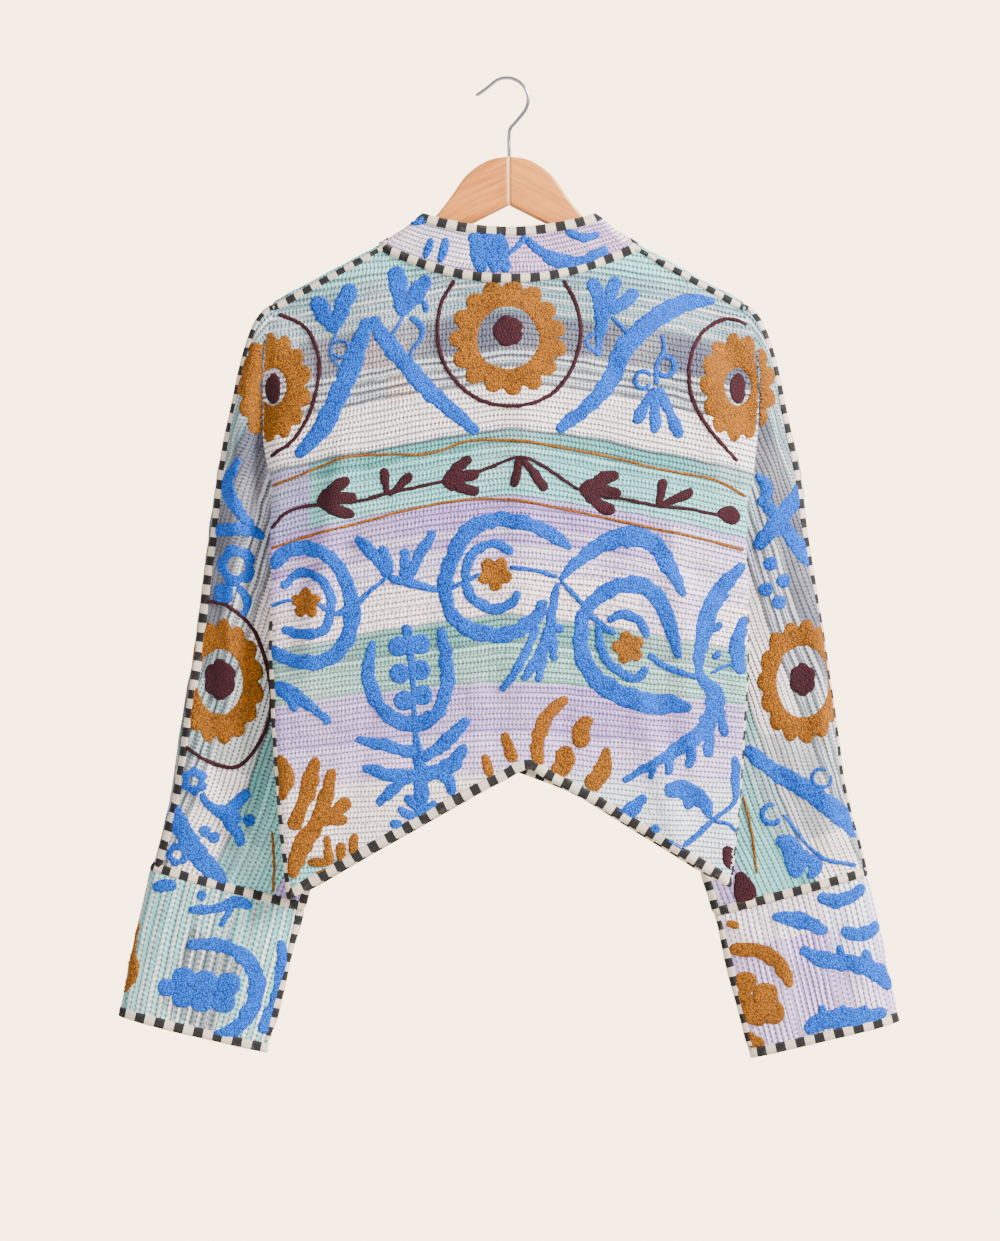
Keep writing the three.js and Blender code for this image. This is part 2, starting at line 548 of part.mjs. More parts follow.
// A solid's triangles, collected point by point.
class Solid {
  constructor() {
    this.at = [];
    this.triangles = [];
  }

  add(p) {
    this.at.push(p.x, p.y, p.z);
    return this.at.length / 3 - 1;
  }

  fan(ring) {
    for (let i = 1; i + 1 < ring.length; i += 1) this.triangles.push(ring[0], ring[i], ring[i + 1]);
  }

  // Six times the volume, which is below zero when the faces point inwards.
  volume() {
    const corner = (i) => vec(...this.at.slice(3 * i, 3 * i + 3));
    let sum = 0;
    for (let i = 0; i < this.triangles.length; i += 3) {
      const [a, b, c] = this.triangles.slice(i, i + 3).map(corner);
      sum += a.dot(b.cross(c));
    }
    return sum;
  }

  geometry() {
    if (this.volume() < 0) this.triangles.reverse();
    const geometry = new THREE.BufferGeometry();
    geometry.setAttribute("position", new THREE.Float32BufferAttribute(this.at, 3));
    geometry.setIndex(this.triangles);
    geometry.computeVertexNormals();
    return geometry;
  }
}

// How far each point on a piece's cut edge steps back from its seam in the plane of its own faces, so that
// two pieces stay apart.
function edgeSteps(rim, gap) {
  const around = new Map();
  for (const { a, b, ring } of rim) {
    const way = points[b].clone().sub(points[a]).normalize();
    const face = vec(0, 0, 0);
    for (let i = 1; i + 1 < ring.length; i += 1) {
      const [first, second, third] = [ring[0], ring[i], ring[i + 1]].map((v) => points[v]);
      face.add(second.clone().sub(first).cross(third.clone().sub(first)));
    }
    const inward = face.cross(way).normalize();
    for (const [v, sense] of [[a, 1], [b, -1]]) {
      if (!around.has(v)) around.set(v, { inward: [], ways: [] });
      around.get(v).inward.push(inward);
      around.get(v).ways.push(way.clone().multiplyScalar(sense));
    }
  }
  const steps = new Map();
  for (const [v, { inward, ways }] of around) {
    const move = inward.reduce((sum, m) => sum.add(m), vec(0, 0, 0)).multiplyScalar(1 / inward.length);
    const slit = inward.length > 1 && inward[0].dot(inward[1]) < -0.3;
    if (slit) move.copy(ways[0]).add(ways[1]).normalize().negate();
    steps.set(v, move.multiplyScalar(gap / 2 / Math.max(move.lengthSq(), 0.4)));
  }
  return steps;
}

// The wall of one piece: its faces with the quilting's ridges, the same faces moved in by the cloth's
// thickness and left plain, and its cut edges.
function wallOf(name) {
  const { faces, marked } = pieces.get(name);
  const directed = new Map();
  for (const ring of faces) {
    ring.forEach((a, i) => {
      const b = ring[(i + 1) % ring.length];
      directed.set(`${a}>${b}`, { a, b, ring });
    });
  }
  const rim = [...directed.values()].filter(({ a, b }) => !directed.has(`${b}>${a}`));
  const steps = edgeSteps(rim, name === "back" ? SEAM_GAP : WIDE_GAP);
  const edges = [...steps.keys()].map((v) => points[v]);

  const solid = new Solid();
  const [skin, inside, ridges] = [new Map(), new Map(), new Map()];
  for (const v of new Set(faces.flat())) {
    const p = points[v].clone().add(steps.get(v) ?? vec(0, 0, 0));
    skin.set(v, solid.add(p));
    inside.set(v, solid.add(p.clone().addScaledVector(normals[v], -WALL)));
  }
  const ridgeOn = (a, b) => {
    const key = edgeKey(a, b);
    if (!marked.has(key)) return null;
    if (!ridges.has(key)) {
      const middlePoint = points[a].clone().lerp(points[b], 0.5);
      const half = points[a].distanceTo(points[b]) / 2;
      const isInner = directed.has(`${a}>${b}`) && directed.has(`${b}>${a}`);
      const isClear = isInner && edges.every((e) => e.distanceTo(middlePoint) > QUILT_MARGIN);
      const isOpen = normals[a].dot(normals[b]) > 0.92 && half > 3;
      const up = normals[a].clone().add(normals[b]).normalize();
      ridges.set(key, isClear && isOpen ? solid.add(middlePoint.addScaledVector(up, QUILT_RISE)) : null);
    }
    return ridges.get(key);
  };
  for (const ring of faces) {
    const raised = [];
    let start = 0;
    ring.forEach((v, i) => {
      raised.push(skin.get(v));
      const top = ring.length === 4 ? ridgeOn(v, ring[(i + 1) % 4]) : null;
      if (top === null) return;
      start = raised.length;
      raised.push(top);
    });
    solid.fan([...raised.slice(start), ...raised.slice(0, start)]);
    solid.fan(ring.map((v) => inside.get(v)).reverse());
  }
  for (const { a, b } of rim) solid.fan([skin.get(b), skin.get(a), inside.get(a), inside.get(b)]);
  return solid.geometry();
}

// The place on the cloth at a distance from one of its points, found along the edges that lead most
// nearly the given way.
function beside(start, way, distance, withSlants) {
  let [from, left] = [start, distance];
  for (;;) {
    const ahead = (v) => points[v].clone().sub(points[from]).normalize().dot(way);
    const near = withSlants ? [...besides[from], ...slants[from]] : [...besides[from]];
    const to = near.reduce((best, v) => (ahead(v) > ahead(best) ? v : best));
    const length = points[to].distanceTo(points[from]);
    if (length >= left || ahead(to) < 0.2) {
      const t = Math.min(left / length, 1);
      return { p: points[from].clone().lerp(points[to], t), n: normals[from].clone().lerp(normals[to], t) };
    }
    [from, left] = [to, left - length];
  }
}

// Stops along a run of the cloth's points, cut short at both ends: each holds its place and normal, and
// those beside it at a distance on either hand.
function walk(ids, distance, fromStart, fromEnd, withSlants = false) {
  const places = ids.map((v, i) => {
    const way = points[ids[Math.min(i + 1, ids.length - 1)]].clone().sub(points[ids[Math.max(i - 1, 0)]]);
    const hand = way.normalize().cross(normals[v]).normalize();
    const middle = { p: points[v].clone(), n: normals[v].clone() };
    const on = (way) => beside(v, way, distance, withSlants);
    return [on(hand.clone().negate()), middle, on(hand)];
  });
  const run = [0];
  for (let i = 1; i < ids.length; i += 1) run.push(run[i - 1] + points[ids[i]].distanceTo(points[ids[i - 1]]));
  const total = run[run.length - 1];
  const inner = run.filter((d) => d > fromStart + 2 && d < total - fromEnd - 2);
  return [fromStart, ...inner, total - fromEnd].map((d) => {
    let i = 1;
    while (i < run.length - 1 && run[i] < d) i += 1;
    const t = (d - run[i - 1]) / (run[i] - run[i - 1]);
    const between = (k, key) => places[i - 1][k][key].clone().lerp(places[i][k][key], t);
    return [0, 1, 2].map((k) => ({ p: between(k, "p"), n: between(k, "n") }));
  });
}

// A strip through rings of like length, each folded in two: its last points lie over its first, and face the
// cloth. Each cell is parted on the diagonal that stands further off the cloth.
function strip(rings) {
  const solid = new Solid();
  const ids = rings.map((ring) => ring.map((p) => solid.add(p)));
  const count = rings[0].length;
  for (let i = 0; i + 1 < ids.length; i += 1) {
    for (let k = 0; k < count; k += 1) {
      const next = (k + 1) % count;
      const cell = [ids[i][k], ids[i][next], ids[i + 1][next], ids[i + 1][k]];
      const away = rings[i][k].clone().sub(rings[i][count - 1 - k]).multiplyScalar(k < count / 2 ? 1 : -1);
      const slant = rings[i][k].clone().add(rings[i + 1][next]).sub(rings[i][next]).sub(rings[i + 1][k]);
      if (slant.dot(away) < 0) cell.push(cell.shift());
      solid.fan(cell);
    }
  }
  for (let k = 0; k < count / 2 - 1; k += 1) {
    const pair = [k, k + 1, count - 2 - k, count - 1 - k];
    solid.fan(pair.map((i) => ids[0][i]).reverse());
    solid.fan(pair.map((i) => ids[ids.length - 1][i]));
  }
  return solid.geometry();
}

const off = ({ p, n }, distance) => p.clone().addScaledVector(n, distance);

// A tape laid flat over a seam.
function seamTape(ids, fromStart, fromEnd, withSlants = false, lift = LIFT) {
  return strip(walk(ids, TAPE_HALF, fromStart, fromEnd, withSlants).map((across) => [
    ...across.map((q) => off(q, lift + TAPE_THICK)),
    ...across.map((q) => off(q, lift)).reverse(),
  ]));
}

// A binding folded over a raw edge, seen on both faces of the cloth.
function edgeBinding(ids, fromStart, fromEnd) {
  const stops = walk(ids, EDGE_BAND, fromStart, fromEnd);
  const reach = (k) => stops.reduce((sum, stop) => sum + stop[k].p.distanceTo(stop[1].p), 0);
  const hand = reach(2) > reach(0) ? 2 : 0;
  return strip(stops.map((stop) => {
    const [edge, up] = [stop[1], stop[hand]];
    const outward = edge.p.clone().sub(up.p).normalize();
    const past = (depth, beyond) => off(edge, depth).addScaledVector(outward, beyond);
    const [near, far] = [LIFT, LIFT + TAPE_THICK];
    return [
      off(up, far), past(far, far), past(-WALL - far, far), off(up, -WALL - far),
      off(up, -WALL - near), past(-WALL - near, near), past(near, near), off(up, near),
    ];
  }));
}

// One arm of the wooden hanger, lofted from the middle to its rounded end.
const ARM = [
  { x: 0.15, top: WOOD_TOP, bottom: -117, thick: 1 },
  { x: 20, top: -75.5, bottom: -127, thick: 1 },
  { x: 40, top: -89.5, bottom: -137, thick: 1 },
  { x: 54, top: -109, bottom: -144, thick: 1 },
  { x: 69, top: -127.7, bottom: -152, thick: 1 },
  { x: 79, top: -135, bottom: -157.5, thick: 1 },
  { x: 92, top: -143.5, bottom: -164, thick: 1 },
  { x: 104, top: -151.2, bottom: -169.6, thick: 1 },
  { x: 117, top: -158, bottom: -176, thick: 1 },
  { x: 130, top: -161.8, bottom: -182, thick: 1 },
  { x: 150, top: -172, bottom: -192, thick: 1 },
  { x: 185, top: -190.6, bottom: -209, thick: 1 },
  { x: 204, top: -201, bottom: -217, thick: 0.92 },
  { x: 211, top: -207, bottom: -215, thick: 0.5 },
];

function armSolid(sign) {
  return strip(ARM.map(({ x, top, bottom, thick }) => {
    const half = (WOOD_THICK * thick) / 2;
    const [centre, rise] = [(top + bottom) / 2, (top - bottom) / 2];
    const at = (y, z) => vec(sign * x, armY(x) + y * half, centre + z);
    return [
      at(-1, -rise + 5), at(-1, rise - 5), at(-0.7, rise - 1.6), at(0, rise), at(0.7, rise - 1.6),
      at(1, rise - 5), at(1, -rise + 5), at(0.7, -rise + 1.6), at(0, -rise), at(-0.7, -rise + 1.6),
    ];
  }));
}

// The hook: a turned-out tip, an arc over the mount, and a bend into the stem.
function hookSolid() {
  const centreZ = WIRE_RADIUS - HOOK_RADIUS;
  const arc = [140, 112, 84, 56, 28, 0, -25].map((degrees) => {
    const turn = THREE.MathUtils.degToRad(degrees);
    return vec(HOOK_MIDDLE + HOOK_RADIUS * Math.cos(turn), 0, centreZ + HOOK_RADIUS * Math.sin(turn));
  });
  const tip = [vec(-31, 0, -15.1), vec(-26.6, 0, -12.3), vec(-21.9, 0, -9)];
  const bend = [vec(11.7, 0, -33), vec(5.6, 0, -40.4), vec(1, 0, -45.8)];
  const stem = [vec(0, 0, STEM_TOP - 3), vec(0, 0, WOOD_TOP + SEAM_GAP)];
  const path = new THREE.CatmullRomCurve3([...tip, ...arc, ...bend, ...stem], false, "centripetal");
  const wire = new THREE.Shape().absarc(0, 0, WIRE_RADIUS, 0, 2 * Math.PI);
  return new THREE.ExtrudeGeometry(wire, { steps: 40, curveSegments: 4, bevelEnabled: false, extrudePath: path });
}

const jacket = new THREE.Group();

function part(name, geometry, material) {
  const mesh = new THREE.Mesh(geometry, material.clone());
  mesh.name = name;
  jacket.add(mesh);
}

for (const name of pieces.keys()) part(name, wallOf(name), CLOTH);

const ACROSS_TAPE = TAPE_HALF + LIFT + 0.4; // from a seam to the end of a tape that meets its own
const ACROSS_BAND = EDGE_BAND + LIFT + TAPE_THICK + 2;
const BELOW_ARMPIT = 54;
const END_GAP = 0.8;
part("neck_tape", seamTape(neckSeam, ACROSS_BAND, ACROSS_BAND, true, NECK_LIFT), TAPE);
part("collar_binding", edgeBinding(collarGrid[0], ACROSS_BAND, ACROSS_BAND), TAPE);
const backHem = [...last(made.left.bodyBack), ...last(made.right.bodyBack).slice(0, -1).reverse()];
part("hem_binding_back", edgeBinding(backHem, END_GAP, END_GAP), TAPE);

for (const [name, grids] of Object.entries(made)) {
  const collarEnd = collarGrid.slice(0, -1).map((row) => (name === "left" ? row[0] : last(row)));
  const frontEdge = [...grids.front, ...grids.bodyFront.slice(1)].map(last);
  const overSleeve = [...grids.sleeveBack.slice(1), ...grids.lowerBack.slice(1)].map((row) => row[0]);
  const shoulder = grids.back[0].slice(0, SHOULDER_STEPS.length).reverse();
  part(`shoulder_tape_${name}`, seamTape([...shoulder, ...overSleeve], ACROSS_TAPE, ACROSS_TAPE), TAPE);
  const sideSeam = grids.bodyBack.map((row) => row[0]);
  const underarm = grids.lowerBack.map(last);
  const cuffUnder = grids.cuff.map((row) => row[0]);
  part(`side_tape_${name}`, seamTape(sideSeam, BELOW_ARMPIT, ACROSS_BAND), TAPE);
  part(`underarm_tape_${name}`, seamTape(underarm, BELOW_ARMPIT, ACROSS_TAPE, false, FOLD_LIFT), TAPE);
  part(`cuff_seam_tape_${name}`, seamTape(grids.cuff[0], END_GAP, END_GAP), TAPE);
  const cuffUnderTape = seamTape(cuffUnder, ACROSS_TAPE, ACROSS_BAND, false, FOLD_LIFT);
  part(`cuff_underarm_tape_${name}`, cuffUnderTape, TAPE);
  part(`cuff_binding_${name}`, edgeBinding(last(grids.cuff), END_GAP, END_GAP), TAPE);
  part(`front_binding_${name}`, edgeBinding([...collarEnd, ...frontEdge], 0, 0), TAPE);
  part(`hem_binding_front_${name}`, edgeBinding(last(grids.bodyFront), END_GAP, ACROSS_BAND), TAPE);
  part(`hanger_arm_${name}`, armSolid(name === "left" ? -1 : 1), WOOD);
}
part("hook", hookSolid(), CHROME);

export default jacket;
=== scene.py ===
"""A kantha jacket on a wooden hanger, seen from its back: the cloth, its bindings, its embroidery."""
import json
import logging
import math
from dataclasses import dataclass, field
from enum import Enum
from typing import Callable, Iterable, Sequence

import bpy
import numpy as np
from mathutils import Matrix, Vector
from mathutils.bvhtree import BVHTree
from mathutils.kdtree import KDTree

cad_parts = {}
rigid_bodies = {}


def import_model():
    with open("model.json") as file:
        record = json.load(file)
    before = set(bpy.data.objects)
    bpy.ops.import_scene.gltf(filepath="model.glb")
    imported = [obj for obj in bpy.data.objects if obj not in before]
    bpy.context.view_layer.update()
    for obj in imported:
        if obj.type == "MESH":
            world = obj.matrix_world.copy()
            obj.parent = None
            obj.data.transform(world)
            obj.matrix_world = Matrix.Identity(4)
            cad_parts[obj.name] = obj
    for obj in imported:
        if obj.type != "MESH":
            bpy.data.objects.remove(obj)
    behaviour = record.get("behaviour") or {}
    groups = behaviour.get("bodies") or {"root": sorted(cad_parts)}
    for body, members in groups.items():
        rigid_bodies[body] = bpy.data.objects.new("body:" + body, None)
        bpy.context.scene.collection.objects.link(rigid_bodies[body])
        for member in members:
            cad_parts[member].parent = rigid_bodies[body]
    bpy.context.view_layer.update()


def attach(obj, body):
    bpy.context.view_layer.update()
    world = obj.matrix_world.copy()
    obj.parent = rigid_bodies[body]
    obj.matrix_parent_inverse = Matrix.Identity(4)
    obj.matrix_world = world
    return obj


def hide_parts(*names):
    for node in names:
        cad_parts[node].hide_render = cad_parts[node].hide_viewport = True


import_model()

LOG = logging.getLogger("jacket")
MM = 0.001
SEED = 20

FILM_SLOPE = 6.35
FILM_WHITE = 0.937
FILM_PURITY = 0.78
DARKEST_DYE = 0.0015

Points = np.ndarray
Amount = float | np.ndarray
Colour = tuple[float, float, float]


def mix(a: Amount, b: Amount, t: Amount) -> Amount:
    """Go from a to b by the share t."""
    return a + (b - a) * t


def ease(t: Amount) -> Amount:
    """Go from 0 to 1 with a soft start and a soft end."""
    t = np.clip(t, 0, 1)
    return t * t * (3 - 2 * t)


def rgb(red: int, green: int, blue: int) -> Colour:
    """Give the dye that looks like a screen colour in the studio's bright light."""
    seen = [c / 255 for c in (red, green, blue)]
    mean = sum(seen) / 3
    dull = [math.exp(FILM_SLOPE * (mix(mean, c, FILM_PURITY) - FILM_WHITE)) for c in seen]
    grey = sum(dull) / 3
    return tuple(max(grey + (c - grey) / FILM_PURITY, DARKEST_DYE) for c in dull)


# Cut of the jacket as it hangs, in millimetres, X across, Z up, the back at -Y
WALL = 2.4
NECK_HALF = 117
NECK_POINT_Z = -156
BACK_NECK_DROP = 31
BACK_NECK_Y = -24
FRONT_NECK_Y = 25
SHOULDER_END = 218
SHOULDER_END_Z = -210
SIDE_LENGTH = 546
ARMPIT_DOWN = 230
SEAM_BEHIND = 10
RIDGE_RISE = 6
FRONT_GAP = 9
FRONT_NECK_DROP = 94
ARM_REACH = 212
ARM_SWEEP = 20
HEM_APEX = (17, -639)
HEM_ROUND = 8
HEM_SLOPES = (0.57, 0.61)
FRONT_HEM_DROP = 3
COLLAR_TOP_HALF = 79
COLLAR_TOP_Z = (-139, -126)
COLLAR_TOP_Y = (-12, -4.5)
CUFF_START = 303
CUFF_END = 408
ARM_ROWS = (0, 6, 20, 40, 64, 90, 118, 146, 174, 202, 230)
LOWER_ROWS = 12
CUFF_ROWS = 4
COLLAR_ROWS = 4
NECK_COLUMNS = 6
SHOULDER_STEPS = np.array([0, 5, 14, 26, 42, 62, 84, 114.5])
SLEEVE_BACK_SHARES = np.array([0, 0.05, 0.16, 0.32, 0.5, 0.68, 0.86, 1])
SLEEVE_FRONT_SHARES = np.array([0, 0.05, 0.18, 0.36, 0.54, 0.72, 0.88, 1])
PAST_TURN_SHARES = np.array([0.5, 1])
SECTION_SHARES = np.array([0, 0.3, 0.55, 0.78, 0.92])


class Table:
    """Rows of sizes under named columns, read by the first of them."""

    def __init__(self, names: str, rows: Sequence[Sequence[float]]) -> None:
        """Keep the columns by name."""
        self.columns = dict(zip(names.split(), np.array(rows, float).T))
        self.key = next(iter(self.columns.values()))

    def read(self, name: str, at: float) -> float:
        """Read a column between its rows by a smooth curve.

        Args:
            name: The column.
            at: The place, in the units of the first column.

        Returns:
            The column's value there.
        """
        key, values = self.key, self.columns[name]
        end = len(key) - 1
        place = min(max(at, key[0]), key[end])
        i = int(np.clip(np.searchsorted(key, place) - 1, 0, end - 1))
        span = key[i + 1] - key[i]
        t = (place - key[i]) / span

        def slope(k: int) -> float:
            """Give the mean slope beside row k."""
            a, b = max(k - 1, 0), min(k + 1, end)
            return (values[b] - values[a]) / (key[b] - key[a])

        bend = slope(i) * t * (1 - t) ** 2 - slope(i + 1) * t * t * (1 - t)
        return mix(values[i], values[i + 1], t * t * (3 - 2 * t)) + span * bend


BODY_SIDE = Table("down edge_x edge_y side_x side_y hollow_x hollow_y", [
    (0, 214, 9, 218, 11, 218, 21), (20, 214, 2, 226, 5, 214, 33), (50, 214, -5, 228, 1, 200, 33),
    (88, 216, -8, 229, 1, 187, 30), (125, 218, -8, 227, 5, 191, 25), (162, 220, -7, 222, 9, 198, 21),
    (202, 222, -6, 216, 11, 205, 16), (230, 223, -5, 212, 13, 212, 13), (262, 222.5, -6, 219.5, 4, 213, 9),
    (311, 220, -9, 222, -1, 219.5, 7), (385, 216.5, -9, 219, -1, 216, 7), (460, 211.5, -9, 214, -1, 211, 7),
    (546, 203.5, -9, 206, -1, 203, 7),
])
BODY_DEPTH = Table("z back front", [
    (-756, -15, 11), (-700, -19, 14), (-640, -23, 17), (-530, -30, 23), (-450, -33, 26), (-380, -34, 27),
    (-300, -33, 27), (-230, -29, 26), (-187, -24, 25),
])
SLEEVE_TOP = Table("down tip_x tip_z tip_y crown_x crown_y wall_x wall_y turn_x turn_y", [
    (0, 219, -203, 21, 219, 14, 219, 24, 218, 24), (20, 237, -222, 20, 233, 8, 231, 31, 223, 35),
    (50, 249, -253, 19, 240, 2, 234, 37, 213, 40), (88, 259, -297, 19, 245, -1, 236, 41, 199, 42),
    (125, 267, -334, 20, 249, 0, 236, 44, 182, 42), (162, 274, -370, 22, 253, 2, 234, 46, 170, 40),
    (202, 279, -408, 23, 256, 5, 230, 46, 165, 37), (230, 283, -434, 24, 259, 7, 228, 46, 163, 35),
])
SLEEVE = Table("along tip_x tip_z tip_y turn_x turn_z turn_y swell under", [
    (0, 283, -434, 24, 163, -446, 35, 18, 0.08), (40, 289, -474, 25, 156, -486, 35, 17, 0.22),
    (80, 295, -515, 26, 152, -527, 35, 16, 0.36), (160, 307, -593, 27, 155, -606, 35, 16, 0.62),
    (232, 318, -664, 29, 168, -688, 35, 15, 0.8), (303, 336, -733, 31, 192, -772, 35, 15, 0.84),
    (355, 352, -803, 31, 209, -841, 34, 16, 0.84), (408, 366, -873, 31, 227, -908, 34, 16, 0.84),
])
FRONT_NECKLINE = np.array([
    (114, 8, -148.5), (109, 17, -160), (100, 22, -178), (80, 24, -205), (48, 24.5, -234),
    (FRONT_GAP, FRONT_NECK_Y, NECK_POINT_Z - FRONT_NECK_DROP),
])
FRONT_COLLAR_TOP = np.array([
    (80, 6, -125.5), (79.5, 13, -128), (77, 19, -136), (67, 23, -154), (43, 27, -182), (FRONT_GAP, 30, -203),
])
ARM = Table("x top bottom thick", [
    (0.15, -71.5, -117, 1), (20, -75.5, -127, 1), (40, -89.5, -137, 1), (54, -109, -144, 1),
    (69, -127.7, -152, 1), (79, -135, -157.5, 1), (92, -143.5, -164, 1), (104, -151.2, -169.6, 1),
    (117, -158, -176, 1), (130, -161.8, -182, 1), (150, -172, -192, 1), (185, -190.6, -209, 1),
    (204, -201, -217, 0.92), (211, -207, -215, 0.5),
])


@dataclass(frozen=True)
class Side:
    """How one side of the jacket hangs."""

    name: str
    sign: int
    seam_top: float
    seam_cuff: float
    drop: float
    open: float


SIDES = (Side("left", -1, 8, 5, 0, 0), Side("right", 1, 10, -5, 5, 3))
SPAN_STEPS = 12
ROW_PITCH = 5.0


def length_of(line: Points) -> float:
    """Give the length of a line of points."""
    return float(np.linalg.norm(np.diff(line, axis=0), axis=1).sum())


def through(points: Sequence, closed: bool = False) -> Points:
    """Lay a smooth line through points.

    Args:
        points: The points that it passes.
        closed: Whether it returns to the first.

    Returns:
        A dense line with a fixed number of steps between two points.
    """
    p = np.array(points, float)
    ends = [p[-1:], p, p[:2]] if closed else [2 * p[:1] - p[1:2], p, 2 * p[-1:] - p[-2:-1]]
    q = np.vstack(ends)
    a, b, c, d = q[:-3], q[1:-2], q[2:-1], q[3:]
    gaps = [np.linalg.norm(y - x, axis=1)[:, None] ** 0.5 for x, y in ((a, b), (b, c), (c, d))]
    middle = np.where(gaps[1] < 1e-4, 1, gaps[1])
    before, after = (np.where(g < 1e-4, middle, g) for g in (gaps[0], gaps[2]))
    start = ((b - a) / before - (c - a) / (before + middle) + (c - b) / middle) * middle
    end = ((c - b) / middle - (d - b) / (middle + after) + (d - c) / after) * middle
    t = np.arange(SPAN_STEPS)[None, :, None] / SPAN_STEPS
    b, c, start, end = (x[:, None, :] for x in (b, c, start, end))
    spans = b + t * (start + t * (3 * (c - b) - 2 * start - end + t * (2 * (b - c) + start + end)))
    return np.vstack([spans.reshape(-1, p.shape[1]), c[-1]])


def at_distances(line: Points, distances: Iterable[float]) -> Points:
    """Pick the points at given distances along a line."""
    run = np.concatenate([[0], np.cumsum(np.linalg.norm(np.diff(line, axis=0), axis=1))])
    return np.stack([np.interp(distances, run, line[:, k]) for k in range(line.shape[1])], axis=1)


def at_shares(line: Points, shares: Points) -> Points:
    """Pick the points at given shares of a line's length."""
    return at_distances(line, np.asarray(shares) * length_of(line))


def refine(values: Points, knots: Points, at: Points) -> Points:
    """Fill in rows by a smooth curve down each column.

    Args:
        values: The rows that are known.
        knots: The place of each of them.
        at: The places of the rows wanted.

    Returns:
        The rows there.
    """
    end = len(knots) - 1
    low, high = np.maximum(np.arange(end + 1) - 1, 0), np.minimum(np.arange(end + 1) + 1, end)
    shape = (-1,) + (1,) * (values.ndim - 1)
    slopes = (values[high] - values[low]) / (knots[high] - knots[low]).reshape(shape)
    i = np.clip(np.searchsorted(knots, at, side="right") - 1, 0, end - 1)
    span = (knots[i + 1] - knots[i]).reshape(shape)
    t = ((at - knots[i]) / (knots[i + 1] - knots[i])).reshape(shape)
    bend = slopes[i] * t * (1 - t) ** 2 - slopes[i + 1] * t * t * (1 - t)
    return mix(values[i], values[i + 1], t * t * (3 - 2 * t)) + span * bend


def divided(knots: Sequence[float], step: float) -> Points:
    """Part the spans between knots into equal steps near a size, with each knot kept."""
    places = [np.array([knots[0]])]
    for a, b in zip(knots, knots[1:]):
        count = max(1, round(abs(b - a) / step))
        places.append(np.linspace(a, b, count + 1)[1:])
    return np.concatenate(places)


class Noise:
    """Smooth noise on a plane, alike in each run."""

    def __init__(self, seed: int) -> None:
        """Fill the lattice."""
        self.lattice = np.random.default_rng(SEED + seed).uniform(-1, 1, (64, 64))

    def at(self, x: Points, y: Points, size: float) -> Points:
        """Give the noise at places.

        Args:
            x: Places across.
            y: Places along.
            size: The size of its lumps.

        Returns:
            Numbers from -1 to 1.
        """
        x, y = np.asarray(x) / size, np.asarray(y) / size
        i, j = np.floor(x).astype(int), np.floor(y).astype(int)
        s, t = ease(x - i), ease(y - j)
        corner = lambda a, b: self.lattice[(i + a) % 64, (j + b) % 64]
        return mix(mix(corner(0, 0), corner(1, 0), s), mix(corner(0, 1), corner(1, 1), s), t)


def arm_y(x: float) -> float:
    """Give the depth of the hanger's middle line."""
    return ARM_SWEEP * (abs(x) / ARM_REACH) ** 2


